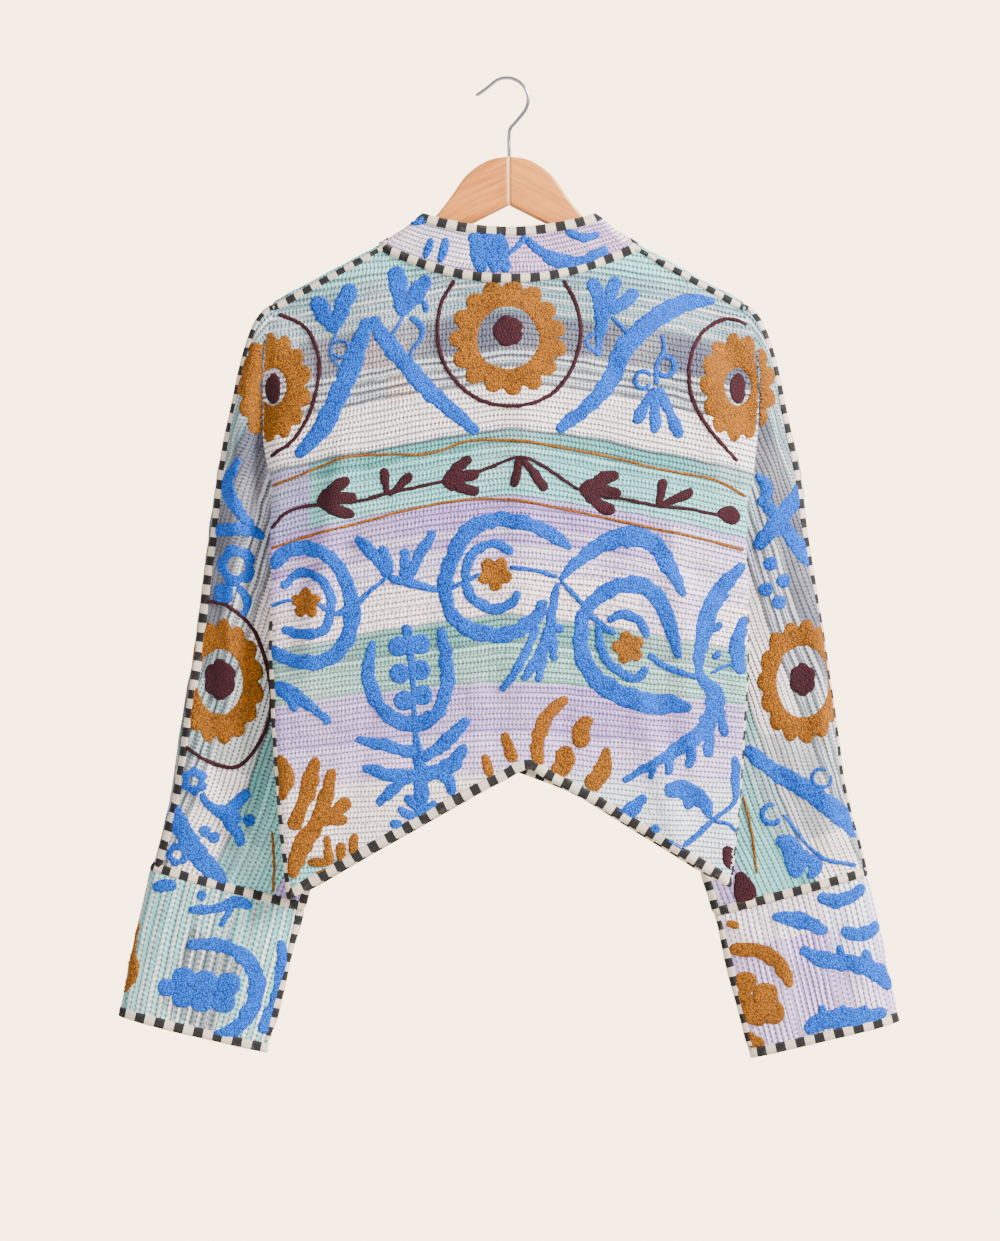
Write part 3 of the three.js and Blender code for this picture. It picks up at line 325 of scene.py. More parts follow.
class Form:
    """The jacket's outer surface as coarse grids of points, worked out from its sizes."""

    def __init__(self) -> None:
        """Build the grids of both sides."""
        lower = [mix(ARMPIT_DOWN, SIDE_LENGTH, (j + 1) / LOWER_ROWS) for j in range(LOWER_ROWS)]
        self.downs = np.array([*ARM_ROWS, *lower])
        self.middle = np.array([self.middle_point(down) for down in self.downs])
        self.sides = {side.name: self.side_grids(side) for side in SIDES}

    @staticmethod
    def shoulder_z(x: float) -> float:
        """Give the height of the shoulder seam."""
        return mix(NECK_POINT_Z, SHOULDER_END_Z, (abs(x) - NECK_HALF) / (SHOULDER_END - NECK_HALF))

    def top_z(self, x: float, front: bool = False) -> float:
        """Give the height of a panel's top edge."""
        if abs(x) > NECK_HALF:
            return self.shoulder_z(x)
        drop, power = (FRONT_NECK_DROP, 1.9) if front else (BACK_NECK_DROP, 2)
        return NECK_POINT_Z - drop * (1 - (abs(x) / NECK_HALF) ** power)

    @staticmethod
    def top_y(x: float) -> float:
        """Give the depth of the back's top edge."""
        if abs(x) > NECK_HALF:
            return arm_y(x) - SEAM_BEHIND
        return mix(BACK_NECK_Y, arm_y(NECK_HALF) - SEAM_BEHIND, (abs(x) / NECK_HALF) ** 1.6)

    @staticmethod
    def hem_z(x: float) -> float:
        """Give the height of the notched hem."""
        away = x - HEM_APEX[0]
        return HEM_APEX[1] - HEM_SLOPES[int(away >= 0)] * (math.hypot(away, HEM_ROUND) - HEM_ROUND)

    def body_z(self, x: float, down: float, front: bool = False) -> float:
        """Give the height of a body point from its place across and its row."""
        return mix(self.top_z(x, front), self.hem_z(x) - FRONT_HEM_DROP * front, down / SIDE_LENGTH)

    def middle_point(self, down: float) -> tuple[float, float, float]:
        """Give a point of the back's middle column, which leans to the notch."""
        x = HEM_APEX[0] * (down / SIDE_LENGTH) ** 2
        z = self.body_z(x, down)
        return x, mix(BACK_NECK_Y, BODY_DEPTH.read("back", z), ease(down / 90)), z

    def back_section(self, side: Side, down: float) -> list[Points]:
        """Give a row's points from the middle to the fold at the body's edge."""
        edge_x = BODY_SIDE.read("edge_x", down)
        edge_y = BODY_SIDE.read("edge_y", down)
        middle_x = HEM_APEX[0] * (down / SIDE_LENGTH) ** 2
        row = []
        for share in SECTION_SHARES:
            x = mix(middle_x, side.sign * edge_x, share)
            z = self.body_z(x, down)
            full = mix(edge_y, BODY_DEPTH.read("back", z), (1 - share ** 2.3) ** 0.75)
            row.append(np.array([x, mix(self.top_y(x), full, ease(down / 90)), z]))
        x = side.sign * edge_x
        row.append(np.array([x, mix(self.top_y(x), edge_y, ease(down / 20)), self.body_z(x, down)]))
        return row

    def front_section(self, side: Side, down: float, start_x: float, start_y: float) -> list[Points]:
        """Give a row's points from beside the side seam to the front's edge."""
        row = []
        for share in SECTION_SHARES[::-1]:
            x = side.sign * max(share * start_x, FRONT_GAP)
            z = self.body_z(x, down, True)
            row.append(np.array([x, mix(start_y, BODY_DEPTH.read("front", z), 1 - share ** 1.8), z]))
        return row

    @staticmethod
    def part_at_seam(to_tip: Points, from_tip: Points, turn_back: float, turn_at: int) -> tuple:
        """Part a sleeve's section at the over-sleeve seam.

        Args:
            to_tip: The back's run, up to the outer fold.
            from_tip: The front's run, on from it.
            turn_back: How far the seam lies before the fold.
            turn_at: The place of the inner fold in the second run.

        Returns:
            The back's line and the front's line, both from the seam, and the share of the second at its fold.
        """
        whole = np.vstack([to_tip, from_tip[1:]])
        seam, total = length_of(to_tip) - turn_back, length_of(whole)
        turn = length_of(to_tip) + length_of(from_tip[:turn_at + 1])
        t = np.linspace(0, 1, 121)
        return (at_distances(whole, seam * (1 - t)), at_distances(whole, mix(seam, total, t)),
                (turn - seam) / (total - seam))

    @staticmethod
    def seam_turn(side: Side, share: float) -> float:
        """Give how far the over-sleeve seam lies round from the outer fold."""
        return mix(side.seam_top, side.seam_cuff, ease(share))

    def arm_row(self, side: Side, down: float) -> tuple:
        """Give one row above the armpit: body back, body front, sleeve back, sleeve front, turn's share."""
        s = side.sign
        body = lambda name: BODY_SIDE.read(name, down)
        arm = lambda name: SLEEVE_TOP.read(name, down)
        soft = side.open * ease(down / 60) * ease((ARMPIT_DOWN - down) / 60)
        back = self.back_section(side, down)
        fold_z = self.body_z(s * body("side_x"), down)
        fold = np.array([s * (body("side_x") + soft), body("side_y") - 2 * soft, fold_z])
        tip_z = arm("tip_z") - side.drop * down / ARMPIT_DOWN
        tip = np.array([s * arm("tip_x"), arm("tip_y"), tip_z])
        crown = np.array([s * arm("crown_x"), arm("crown_y"), mix(tip_z, fold_z, 0.4)])
        hollow_z = self.body_z(s * body("hollow_x"), down, True)
        hollow = np.array([s * body("hollow_x"), body("hollow_y"), hollow_z])
        turn_z = mix(hollow_z, fold_z, 0.5) - 3 * down / ARMPIT_DOWN
        turn = np.array([s * arm("turn_x"), arm("turn_y"), turn_z])
        wall = np.array([s * arm("wall_x"), arm("wall_y"), mix(tip_z, turn_z, 0.45)])
        front = self.front_section(side, down, body("hollow_x"), body("hollow_y"))
        if down == ARMPIT_DOWN:
            hollow = fold
        line = through([*back, fold, crown, tip, wall, turn, hollow, *front[1:]])
        fold_at, tip_at, turn_at, hollow_at = (SPAN_STEPS * (len(back) + k) for k in (0, 2, 4, 5))
        to_tip = line[fold_at:tip_at + 1]
        turn_back = min(self.seam_turn(side, down / (ARMPIT_DOWN + CUFF_START)), length_of(to_tip) * 0.4)
        parts = self.part_at_seam(to_tip, line[tip_at:hollow_at + 1], turn_back, turn_at - tip_at)
        return line[:fold_at + 1][::-1], line[hollow_at:], *parts

    def body_row(self, side: Side, down: float) -> tuple[Points, Points]:
        """Give one row of the body below the armpit, as its back and its front."""
        s = side.sign
        body = lambda name: BODY_SIDE.read(name, down)
        back = self.back_section(side, down)
        seam = np.array([s * body("side_x"), body("side_y"), self.body_z(s * body("side_x"), down)])
        front = self.front_section(side, down, body("hollow_x") - 4, body("hollow_y") + 1)
        corner_z = self.body_z(s * body("hollow_x"), down)
        corner = np.array([s * body("hollow_x"), body("hollow_y"), corner_z])
        line = through([*back, seam, corner, *front])
        seam_at = SPAN_STEPS * len(back)
        return line[:seam_at + 1][::-1], line[seam_at:]

    def sleeve_row(self, side: Side, along: float) -> tuple:
        """Give one row of the sleeve or cuff below the armpit: its back, its front, the turn's share."""
        arm = lambda name: SLEEVE.read(name, along)
        tip = np.array([side.sign * arm("tip_x"), arm("tip_y"), arm("tip_z") - side.drop])
        turn = np.array([side.sign * arm("turn_x"), arm("turn_y"), arm("turn_z") - side.drop])
        off = lambda share, swell: mix(tip, turn, share) + np.array([0, swell * arm("swell"), 0])
        ring = [tip, off(0.06, -0.62), off(0.22, -1), off(0.5, -0.92), off(0.8, -0.66), off(0.95, -0.45),
                turn, off(0.95, 0.5), off(0.8, 0.7), off(0.5, 0.9), off(0.22, 0.95), off(0.06, 0.6)]
        line = through(ring, True)[:-1]
        seam_at = round(mix(3 * SPAN_STEPS, 6 * SPAN_STEPS, arm("under")))
        back_run = line[:seam_at + 1][::-1]
        front_run = np.vstack([line[seam_at:], line[:1]])[::-1]
        turn_back = self.seam_turn(side, (along + ARMPIT_DOWN) / (ARMPIT_DOWN + CUFF_START))
        return self.part_at_seam(back_run, front_run, turn_back, len(line) - 6 * SPAN_STEPS)

    @staticmethod
    def body_columns(line: Points, scale: float = 1, shares: Points | None = None) -> Points:
        """Pick a row's columns: at fixed steps from the side, then by shares of the rest."""
        shares = np.arange(1, NECK_COLUMNS + 1) / NECK_COLUMNS if shares is None else shares
        steps = SHOULDER_STEPS * scale
        rest = length_of(line) - steps[-1]
        return at_distances(line, np.concatenate([steps, steps[-1] + rest * shares]))

    def front_columns(self, line: Points, down: float) -> Points:
        """Pick a front row's columns, which lead down from the neckline and even out on the way."""
        evened = ease(down / ARMPIT_DOWN)
        hollow_x = BODY_SIDE.read("hollow_x", down)
        scale = mix((hollow_x - NECK_HALF) / SHOULDER_STEPS[-1], 1, evened)
        neckline = (NECK_HALF - FRONT_NECKLINE[:, 0]) / (NECK_HALF - FRONT_GAP)
        even = np.arange(1, NECK_COLUMNS + 1) / NECK_COLUMNS
        return self.body_columns(line, scale, mix(neckline, even, evened))

    @staticmethod
    def sleeve_front(line: Points, turn: float) -> Points:
        """Pick the columns of a sleeve's front run."""
        return at_shares(line, np.concatenate([SLEEVE_FRONT_SHARES * turn, mix(turn, 1, PAST_TURN_SHARES)]))

    def bend_over_shoulder(self, side: Side, row: Points, i: int) -> None:
        """Lead the front's first two rows over the hanger's arm, and from the neckline to the row below."""
        for k, x in enumerate(mix(SHOULDER_END, NECK_HALF, SHOULDER_STEPS / SHOULDER_STEPS[-1])):
            near = 2 if k == len(SHOULDER_STEPS) - 1 else 0
            top = self.shoulder_z(x + near)
            ridge = (side.sign * (x + 1 + near), arm_y(x), top + RIDGE_RISE - near / 2)
            past = (side.sign * (x + 1 + near), arm_y(x) + SEAM_BEHIND + 1, top - 1)
            row[k] = past if i else ridge
        below = self.front_columns(self.arm_row(side, ARM_ROWS[3])[1], ARM_ROWS[3])
        mirror = np.array([side.sign, 1, 1])
        for k, place in enumerate(FRONT_NECKLINE):
            base = place * mirror
            at = len(SHOULDER_STEPS) + k
            row[at] = mix(base, below[at], 0.5 if i else 0.17)
            if k == 0:
                row[at] = base + mirror * ((4, 12, -11) if i else (5, 5, -2.5))

    def side_grids(self, side: Side) -> dict[str, Points]:
        """Build all grids of one side.

        Args:
            side: The side.

        Returns:
            The grids back, front, sleeve_back, sleeve_front and cuff, by row and column.
        """
        s, count = side.sign, len(SHOULDER_STEPS)
        shoulder = mix(SHOULDER_END, NECK_HALF, SHOULDER_STEPS / SHOULDER_STEPS[-1])
        neck = NECK_HALF * (1 - np.arange(1, NECK_COLUMNS) / NECK_COLUMNS)
        top = np.array([(s * x, self.top_y(x), self.top_z(x)) for x in [*shoulder, *neck]])
        back = [np.vstack([top, self.middle[:1]])]
        front = [np.vstack([top[:count], FRONT_NECKLINE * (s, 1, 1)])]
        sleeve_back = [np.repeat(top[:1], len(SLEEVE_BACK_SHARES), axis=0)]
        sleeve_front = [np.repeat(top[:1], len(SLEEVE_FRONT_SHARES) + len(PAST_TURN_SHARES), axis=0)]
        for i, down in enumerate(ARM_ROWS[1:]):
            back_line, front_line, outer_line, inner_line, turn = self.arm_row(side, down)
            back_row = self.body_columns(back_line)
            back_row[-1] = self.middle[i + 1]
            front_row = self.front_columns(front_line, down)
            if i < 2:
                self.bend_over_shoulder(side, front_row, i)
                inner_line, turn = np.vstack([inner_line[:60], front_row[:1]]), 0.8
            if down == ARMPIT_DOWN:
                front_row[0] = back_row[0]
            outer = at_shares(outer_line, SLEEVE_BACK_SHARES)
            inner = self.sleeve_front(inner_line, turn)
            outer[-1], inner[0], inner[-1] = back_row[0], outer[0], front_row[0]
            for grid, row in ((back, back_row), (front, front_row), (sleeve_back, outer),
                              (sleeve_front, inner)):
                grid.append(row)
        for j in range(1, LOWER_ROWS + 1):
            back_line, front_line = self.body_row(side, mix(ARMPIT_DOWN, SIDE_LENGTH, j / LOWER_ROWS))
            back_row = self.body_columns(back_line)
            back_row[-1] = self.middle[len(ARM_ROWS) - 1 + j]
            front_row = self.body_columns(front_line)
            front_row[0] = back_row[0]
            outer_line, inner_line, turn = self.sleeve_row(side, CUFF_START * j / LOWER_ROWS)
            outer = at_shares(outer_line, SLEEVE_BACK_SHARES)
            inner = self.sleeve_front(inner_line, turn)
            inner[0], inner[-1] = outer[0], outer[-1]
            for grid, row in ((back, back_row), (front, front_row), (sleeve_back, outer),
                              (sleeve_front, inner)):
                grid.append(row)
        cuff = [np.vstack([sleeve_back[-1][::-1], sleeve_front[-1][1:]])]
        for j in range(1, CUFF_ROWS + 1):
            outer_line, inner_line, turn = self.sleeve_row(side, mix(CUFF_START, CUFF_END, j / CUFF_ROWS))
            outer = at_shares(outer_line, SLEEVE_BACK_SHARES)
            inner = self.sleeve_front(inner_line, turn)
            cuff.append(np.vstack([outer[::-1], inner[1:-1], outer[-1:]]))
        grids = {"back": back, "front": front, "sleeve_back": sleeve_back, "sleeve_front": sleeve_front,
                 "cuff": cuff}
        return {name: np.array(rows) for name, rows in grids.items()}

    def collar(self) -> Points:
        """Build the collar's grid, from its top row to the neck seam, left front edge to right."""
        count = len(SHOULDER_STEPS)
        halves, tops = [], []
        for side in SIDES:
            grids = self.sides[side.name]
            front = grids["front"][0][count:][::-1]
            back = grids["back"][0][count - 1:-1]
            mirror = np.array([side.sign, 1, 1])
            halves.append(np.vstack([front, back]))
            tops.append(np.vstack([FRONT_COLLAR_TOP[::-1] * mirror, [self.back_collar_top(p) for p in back]]))
        seam = np.vstack([halves[0], self.middle[:1], halves[1][::-1]])
        top = np.vstack([tops[0], [self.back_collar_top(self.middle[0])], tops[1][::-1]])
        return np.array([mix(top, seam, j / COLLAR_ROWS) for j in range(COLLAR_ROWS + 1)])

    @staticmethod
    def back_collar_top(base: Points) -> tuple[float, float, float]:
        """Give the collar's top above a point of the back's neckline."""
        t = abs(base[0]) / NECK_HALF
        y = mix(COLLAR_TOP_Y[0], COLLAR_TOP_Y[1], t ** 4)
        return math.copysign(COLLAR_TOP_HALF * t, base[0]), y, mix(COLLAR_TOP_Z[0], COLLAR_TOP_Z[1], t * t)


# The flat cut: how far the cloth's own rows droop from the middle to the side as it hangs
DROOP = Table("down amount", [(0, 24), (22, 31), (200, 40), (340, 33), (410, 22), (590, 10)])
DROOP_REACH = 220
DROOP_POWER = 1.3
SLEEVE_TURN = math.radians(10)
SLEEVE_FLAT = (222, 22)


def body_flat(points: Points) -> Points:
    """Give the place of body points on the flat cloth, across and down."""
    x, z = points[..., 0], points[..., 2]
    far = np.minimum(np.abs(x) / DROOP_REACH, 1.1) ** DROOP_POWER
    down = -z + NECK_POINT_Z
    read = np.interp
    for _ in range(6):
        down = -z + NECK_POINT_Z - read(down, DROOP.key, DROOP.columns["amount"]) * far
    return np.stack([x, down], axis=-1)


def sleeve_flat(points: Points, runs: Points, sign: int) -> Points:
    """Give the place of sleeve points on the flat cloth, from the over-sleeve seam on."""
    steps = np.linalg.norm(np.diff(points, axis=1), axis=-1)
    across = np.concatenate([np.zeros((len(points), 1)), np.cumsum(steps, axis=1)], axis=1)
    along = np.broadcast_to(runs[:, None], across.shape)
    cos, sin = math.cos(SLEEVE_TURN), math.sin(SLEEVE_TURN)
    u = sign * (SLEEVE_FLAT[0] + along * cos - across * sin)
    return np.stack([u, SLEEVE_FLAT[1] + along * sin + across * cos], axis=-1)


@dataclass
class Grid:
    """A stretch of cloth by row and column."""

    region: str
    points: Points
    flat: Points
    flip: bool = False


@dataclass(frozen=True)
class Crease:
    """A soft trough or ridge from one place to another, as seen from behind."""

    start: tuple[float, float]
    end: tuple[float, float]
    depth: float
    width: float

    def at(self, x: Points, z: Points) -> Points:
        """Give how far the crease moves the cloth out at places."""
        a, b = np.array(self.start), np.array(self.end)
        way = b - a
        reach = np.linalg.norm(way)
        along = ((x - a[0]) * way[0] + (z - a[1]) * way[1]) / reach ** 2
        off = ((x - a[0]) * way[1] - (z - a[1]) * way[0]) / reach
        fade = ease((along + 0.15) / 0.35) * ease((1.15 - along) / 0.35)
        return self.depth * fade * np.exp(-(off / self.width) ** 2)


class Cloth:
    """One cut piece of quilted cloth: its welded surface, creased and rippled, as a thin shell."""

    PUCKER = ((46, 1.5), (17, 0.7))
    RIPPLE_RISE = 0.55
    EDGE_FADE = 9

    def __init__(self, name: str, grids: list[Grid], creases: Sequence[Crease], seed: int) -> None:
        """Weld the grids and shape the surface."""
        self.name = name
        noise = Noise(seed)
        for g in grids:
            u, v = g.flat[..., 0], g.flat[..., 1]
            drift = 1.5 * noise.at(u, v, 42) + 0.5 * noise.at(u + 90, v, 13)
            g.flat = np.stack([u + 0.8 * noise.at(v, u, 21), v + drift], axis=-1)
        stacked = np.concatenate([g.points.reshape(-1, 3) for g in grids])
        keys, first, index = np.unique(np.round(stacked, 3), axis=0, return_index=True, return_inverse=True)
        index = index.reshape(-1)
        self.faces: list[tuple[int, ...]] = []
        self.corner_flat: list[tuple[float, float]] = []
        self.region_faces: dict[str, list[tuple[int, ...]]] = {}
        self.ids = {}
        start = 0
        for g in grids:
            rows, cols = g.points.shape[:2]
            ids = index[start:start + rows * cols].reshape(rows, cols)
            self.ids[g.region] = ids
            self.cover(g, ids)
            start += rows * cols
        self.smooth = stacked[first]
        self.flat = np.concatenate([g.flat.reshape(-1, 2) for g in grids])[first]
        self.normals = self.vertex_normals(self.smooth)
        self.shape(creases, noise)

    def cover(self, g: Grid, ids: Points) -> None:
        """Add the faces of a grid."""
        faces = self.region_faces.setdefault(g.region, [])
        order = ((0, 0), (1, 0), (1, 1), (0, 1))
        order = order[::-1] if g.flip else order
        corners = [ids[a:ids.shape[0] - 1 + a, b:ids.shape[1] - 1 + b].reshape(-1) for a, b in order]
        flats = [g.flat[a:g.flat.shape[0] - 1 + a, b:g.flat.shape[1] - 1 + b].reshape(-1, 2) for a,
                 b in order]
        for cell, flat in zip(np.stack(corners, 1).tolist(), np.stack(flats, 1).tolist()):
            keep = [k for k in range(4) if cell[k] != cell[k - 1]]
            if len(keep) < 3:
                continue
            face = tuple(cell[k] for k in keep)
            faces.append(face)
            self.faces.append(face)
            self.corner_flat.extend(flat[k] for k in keep)

    def vertex_normals(self, points: Points) -> Points:
        """Give the normals of a surface with these faces."""
        quads = np.array([f if len(f) == 4 else (*f, f[0]) for f in self.faces])
        a, b, c, d = (points[quads[:, k]] for k in range(4))
        facing = np.cross(c - a, d - b)
        normals = np.zeros_like(points)
        for k in range(4):
            np.add.at(normals, quads[:, k], facing)
        return normals / np.maximum(np.linalg.norm(normals, axis=1, keepdims=True), 1e-9)

    def rim(self) -> Points:
        """Find the points on the cut edges."""
        edges = {}
        for face in self.faces:
            for a, b in zip(face, face[1:] + face[:1]):
                key = (a, b) if a < b else (b, a)
                edges[key] = edges.get(key, 0) + 1
        return np.array(sorted({v for key, n in edges.items() if n == 1 for v in key}))

    def shape(self, creases: Sequence[Crease], noise: Noise) -> None:
        """Crease the surface, then ripple it between the rows of running stitch."""
        rim = self.rim()
        tree = KDTree(len(rim))
        for i, v in enumerate(rim):
            tree.insert(self.smooth[v], i)
        tree.balance()
        away = np.array([tree.find(p)[2] for p in self.smooth])
        fade = ease(away / self.EDGE_FADE)
        x, z = self.smooth[:, 0], self.smooth[:, 2]
        u, v = self.flat[:, 0], self.flat[:, 1]
        behind = np.clip(-self.normals[:, 1] * 1.5, 0, 1)
        move = sum((c.at(x, z) for c in creases), np.zeros(len(x))) * behind
        for size, rise in self.PUCKER:
            move += rise * noise.at(u + 7 * size, v * 1.3, size)
        self.creased = self.smooth + self.normals * (move * fade)[:, None]
        ridge = np.abs(np.cos(math.pi * v / ROW_PITCH)) - 0.5
        depth = self.RIPPLE_RISE * (0.75 + 0.45 * noise.at(v, u, 26))
        self.final = self.creased + self.vertex_normals(self.creased) * (ridge * depth * fade)[:, None]

    def tree(self, region: str | None = None) -> BVHTree:
        """Give the creased surface, or one region of it, for laying things on."""
        faces = self.faces if region is None else self.region_faces[region]
        return BVHTree.FromPolygons([Vector(p) for p in self.creased], faces)

    def edge(self, region: str, row: int | None = None, col: int | None = None) -> Points:
        """Give the creased points of a grid's row or column."""
        ids = self.ids[region]
        return self.creased[ids[row] if col is None else ids[:, col]]

    def build(self, material: bpy.types.Material) -> bpy.types.Object:
        """Make the shell.

        Args:
            material: Its finish.

        Returns:
            The new object.
        """
        obj = new_object(self.name, self.final, self.faces, material)
        layer = obj.data.uv_layers.new(name="Flat")
        layer.data.foreach_set("uv", (np.array(self.corner_flat) * MM).reshape(-1))
        thick = obj.modifiers.new("Wall", "SOLIDIFY")
        thick.thickness = WALL * MM
        thick.offset = -1
        return obj


def new_object(name: str, points: Points, faces: list, material: bpy.types.Material) -> bpy.types.Object:
    """Make a smooth mesh object from points in millimetres."""
    mesh = bpy.data.meshes.new(name)
    mesh.from_pydata((np.asarray(points) * MM).tolist(), [], faces)
    mesh.polygons.foreach_set("use_smooth", [True] * len(mesh.polygons))
    mesh.materials.append(material)
    mesh.update()
    obj = bpy.data.objects.new(name, mesh)
    bpy.context.scene.collection.objects.link(obj)
    return obj


class Tailor:
    """Makes the fine grids of every cut piece from the coarse form."""

    ROW_STEP = ROW_PITCH / 3
    SLEEVE_ROW_STEP = 5
    BODY_STEP = 5
    SLEEVE_STEP = 2.2
    FRONT_ROW_STEP = 3
    FRONT_SLEEVE_STEP = 4
    BACK_SLEEVE_WIDTH = 82
    FRONT_SLEEVE_WIDTH = 130
    FRONT_TURN = 0.8
    CUFF_STEP = 2
    CUFF_ROW_STEP = 2.6
    COLLAR_STEP = 2.4
    COLLAR_ROW_STEP = 2.2
    COLLAR_HEIGHT = 52

    def __init__(self, form: Form) -> None:
        """Keep the form."""
        self.form = form
        neck = SHOULDER_STEPS[-1] + (NECK_HALF * np.arange(1, NECK_COLUMNS + 1)) / NECK_COLUMNS
        self.body_knots = np.concatenate([SHOULDER_STEPS, neck])

    def panel(self, parts: Sequence[tuple[Points, Points, int]], sleeve_knots: Points, row_step: float,
              sleeve_step: float, name: str) -> list[Grid]:
        """Make the fine grids of a body panel and its sleeves, smooth across the fold between them.

        Args:
            parts: For each side, the body's grid from its side on, the sleeve's from its seam on, the sign.
            sleeve_knots: The places of the sleeve's columns.
            row_step: The distance between rows.
            sleeve_step: The distance between the sleeve's columns.
            name: What the regions' names start with.

        Returns:
            A grid of the body, and one of each sleeve, which runs from above the armpit to below it.
        """
        arms = len(ARM_ROWS)
        knots, wide, bodies = [], [], []
        for body, sleeve, _ in parts:
            reach = sleeve_knots[-1]
            knots.append(np.concatenate([sleeve_knots - reach, self.body_knots[1:]]))
            wide.append(np.concatenate([sleeve[:arms], body[:arms, 1:]], axis=1))
            bodies.append(body)
        body_knots = self.body_knots
        if len(parts) == 2:
            total = 2 * knots[0][-1]
            knots = [np.concatenate([knots[0], (total - knots[1])[::-1][1:]])]
            wide = [np.concatenate([wide[0], wide[1][:, ::-1][:, 1:]], axis=1)]
            body_knots = np.concatenate([self.body_knots, (total - self.body_knots)[::-1][1:]])
            bodies = [np.concatenate([bodies[0], bodies[1][:, ::-1][:, 1:]], axis=1)]
        body_at = divided(body_knots, self.BODY_STEP)
        sleeve_at = divided(sleeve_knots, sleeve_step) - sleeve_knots[-1]
        places = [sleeve_at[:-1], body_at]
        if len(parts) == 2:
            places.append((body_knots[-1] - sleeve_at[:-1])[::-1])
        fine_arms = refine(wide[0].swapaxes(0, 1), knots[0], np.concatenate(places)).swapaxes(0, 1)
        count = len(sleeve_at) - 1
        body_arms = fine_arms[:, count:count + len(body_at)]
        body_low = refine(bodies[0][arms:].swapaxes(0, 1), body_knots, body_at).swapaxes(0, 1)
        top = divided(ARM_ROWS, row_step)
        low = divided([ARMPIT_DOWN, SIDE_LENGTH], row_step)
        rows = np.concatenate([top, low[1:]])
        body = refine(np.concatenate([body_arms, body_low]), self.form.downs, rows)
        grids = [Grid(f"{name}_body", body, body_flat(body))]
        downs = np.concatenate([ARM_ROWS, ARMPIT_DOWN + CUFF_START * np.arange(1,
                                                                               LOWER_ROWS + 1) / LOWER_ROWS])
        low = divided([ARMPIT_DOWN, ARMPIT_DOWN + CUFF_START], self.SLEEVE_ROW_STEP)
        for i, (_, sleeve, sign) in enumerate(parts):
            own = fine_arms[:, :count + 1] if i == 0 else fine_arms[:, -count - 1:][:, ::-1]
            under = refine(sleeve[arms:].swapaxes(0, 1), sleeve_knots - sleeve_knots[-1],
                           sleeve_at).swapaxes(0, 1)
            whole = np.concatenate([own, under])
            runs = np.concatenate([top, low[1:]])
            fine = refine(whole, downs, runs)
            fine[:len(top), -1] = body[:len(top), 0 if i == 0 else -1]
            flat = sleeve_flat(fine, runs, sign)
            side = "left" if sign < 0 else "right"
            grids.append(Grid(f"{name}_sleeve_{side}", fine, flat, flip=i == 1))
        return grids

    def back(self) -> Cloth:
        """Cut the back, in one with the sleeves' backs."""
        sides = self.form.sides
        parts = [(sides[s.name]["back"], sides[s.name]["sleeve_back"], s.sign) for s in SIDES]
        grids = self.panel(parts, SLEEVE_BACK_SHARES * self.BACK_SLEEVE_WIDTH, self.ROW_STEP,
                           self.SLEEVE_STEP, "back")
        return Cloth("kantha_back", grids, BACK_CREASES, 1)

    def front(self, side: Side) -> Cloth:
        """Cut one front, in one with its sleeve's front."""
        own = self.form.sides[side.name]
        shares = [SLEEVE_FRONT_SHARES * self.FRONT_TURN, mix(self.FRONT_TURN, 1, PAST_TURN_SHARES)]
        knots = np.concatenate(shares) * self.FRONT_SLEEVE_WIDTH
        grids = self.panel([(own["front"], own["sleeve_front"], side.sign)], knots, self.FRONT_ROW_STEP,
                           self.FRONT_SLEEVE_STEP, "front")
        for g in grids:
            g.flip = side.sign < 0
        grids = [Grid(g.region.split("_")[1], g.points, g.flat, g.flip) for g in grids]
        creases = [Crease((side.sign * x0, z0), (side.sign * x1, z1), d, w) for x0, z0, x1, z1, d,
                   w in FRONT_CREASES]
        return Cloth(f"kantha_front_{side.name}", grids, creases, 2 + side.sign)

    def cuff(self, side: Side) -> Cloth:
        """Cut one cuff, a ring."""
        coarse = self.form.sides[side.name]["cuff"]
        steps = np.linalg.norm(np.diff(coarse[0], axis=0), axis=1)
        knots = np.concatenate([[0], np.cumsum(steps)])
        along = np.linspace(0, CUFF_END - CUFF_START, CUFF_ROWS + 1)
        closed = np.concatenate([coarse[:, -2:-1], coarse, coarse[:, 1:2]], axis=1).swapaxes(0, 1)
        wide = np.concatenate([[-steps[-1]], knots, [knots[-1] + steps[0]]])
        at = divided(knots, self.CUFF_STEP)
        fine = refine(closed, wide, at).swapaxes(0, 1)
        rows = divided(along, self.CUFF_ROW_STEP)
        fine = refine(fine, along, rows)
        fine[:, -1] = fine[:, 0]
        flat = np.stack(np.meshgrid(at, rows), axis=-1)
        creases = [Crease((side.sign * x0, z0), (side.sign * x1, z1), d, w) for x0, z0, x1, z1, d,
                   w in CUFF_CREASES]
        return Cloth(f"kantha_cuff_{side.name}", [Grid("cuff", fine, flat, side.sign < 0)], creases,
                     5 + side.sign)

    def collar(self) -> Cloth:
        """Cut the stand collar."""
        coarse = self.form.collar()
        steps = np.linalg.norm(np.diff(coarse[-1], axis=0), axis=1)
        knots = np.concatenate([[0], np.cumsum(steps)])
        at = divided(knots, self.COLLAR_STEP)
        along = np.linspace(0, self.COLLAR_HEIGHT, COLLAR_ROWS + 1)
        fine = refine(coarse.swapaxes(0, 1), knots, at).swapaxes(0, 1)
        rows = divided(along, self.COLLAR_ROW_STEP)
        fine = refine(fine, along, rows)
        flat = np.stack(np.meshgrid(at - at[-1] / 2, rows), axis=-1)
        return Cloth("kantha_collar", [Grid("collar", fine, flat)], [], 8)


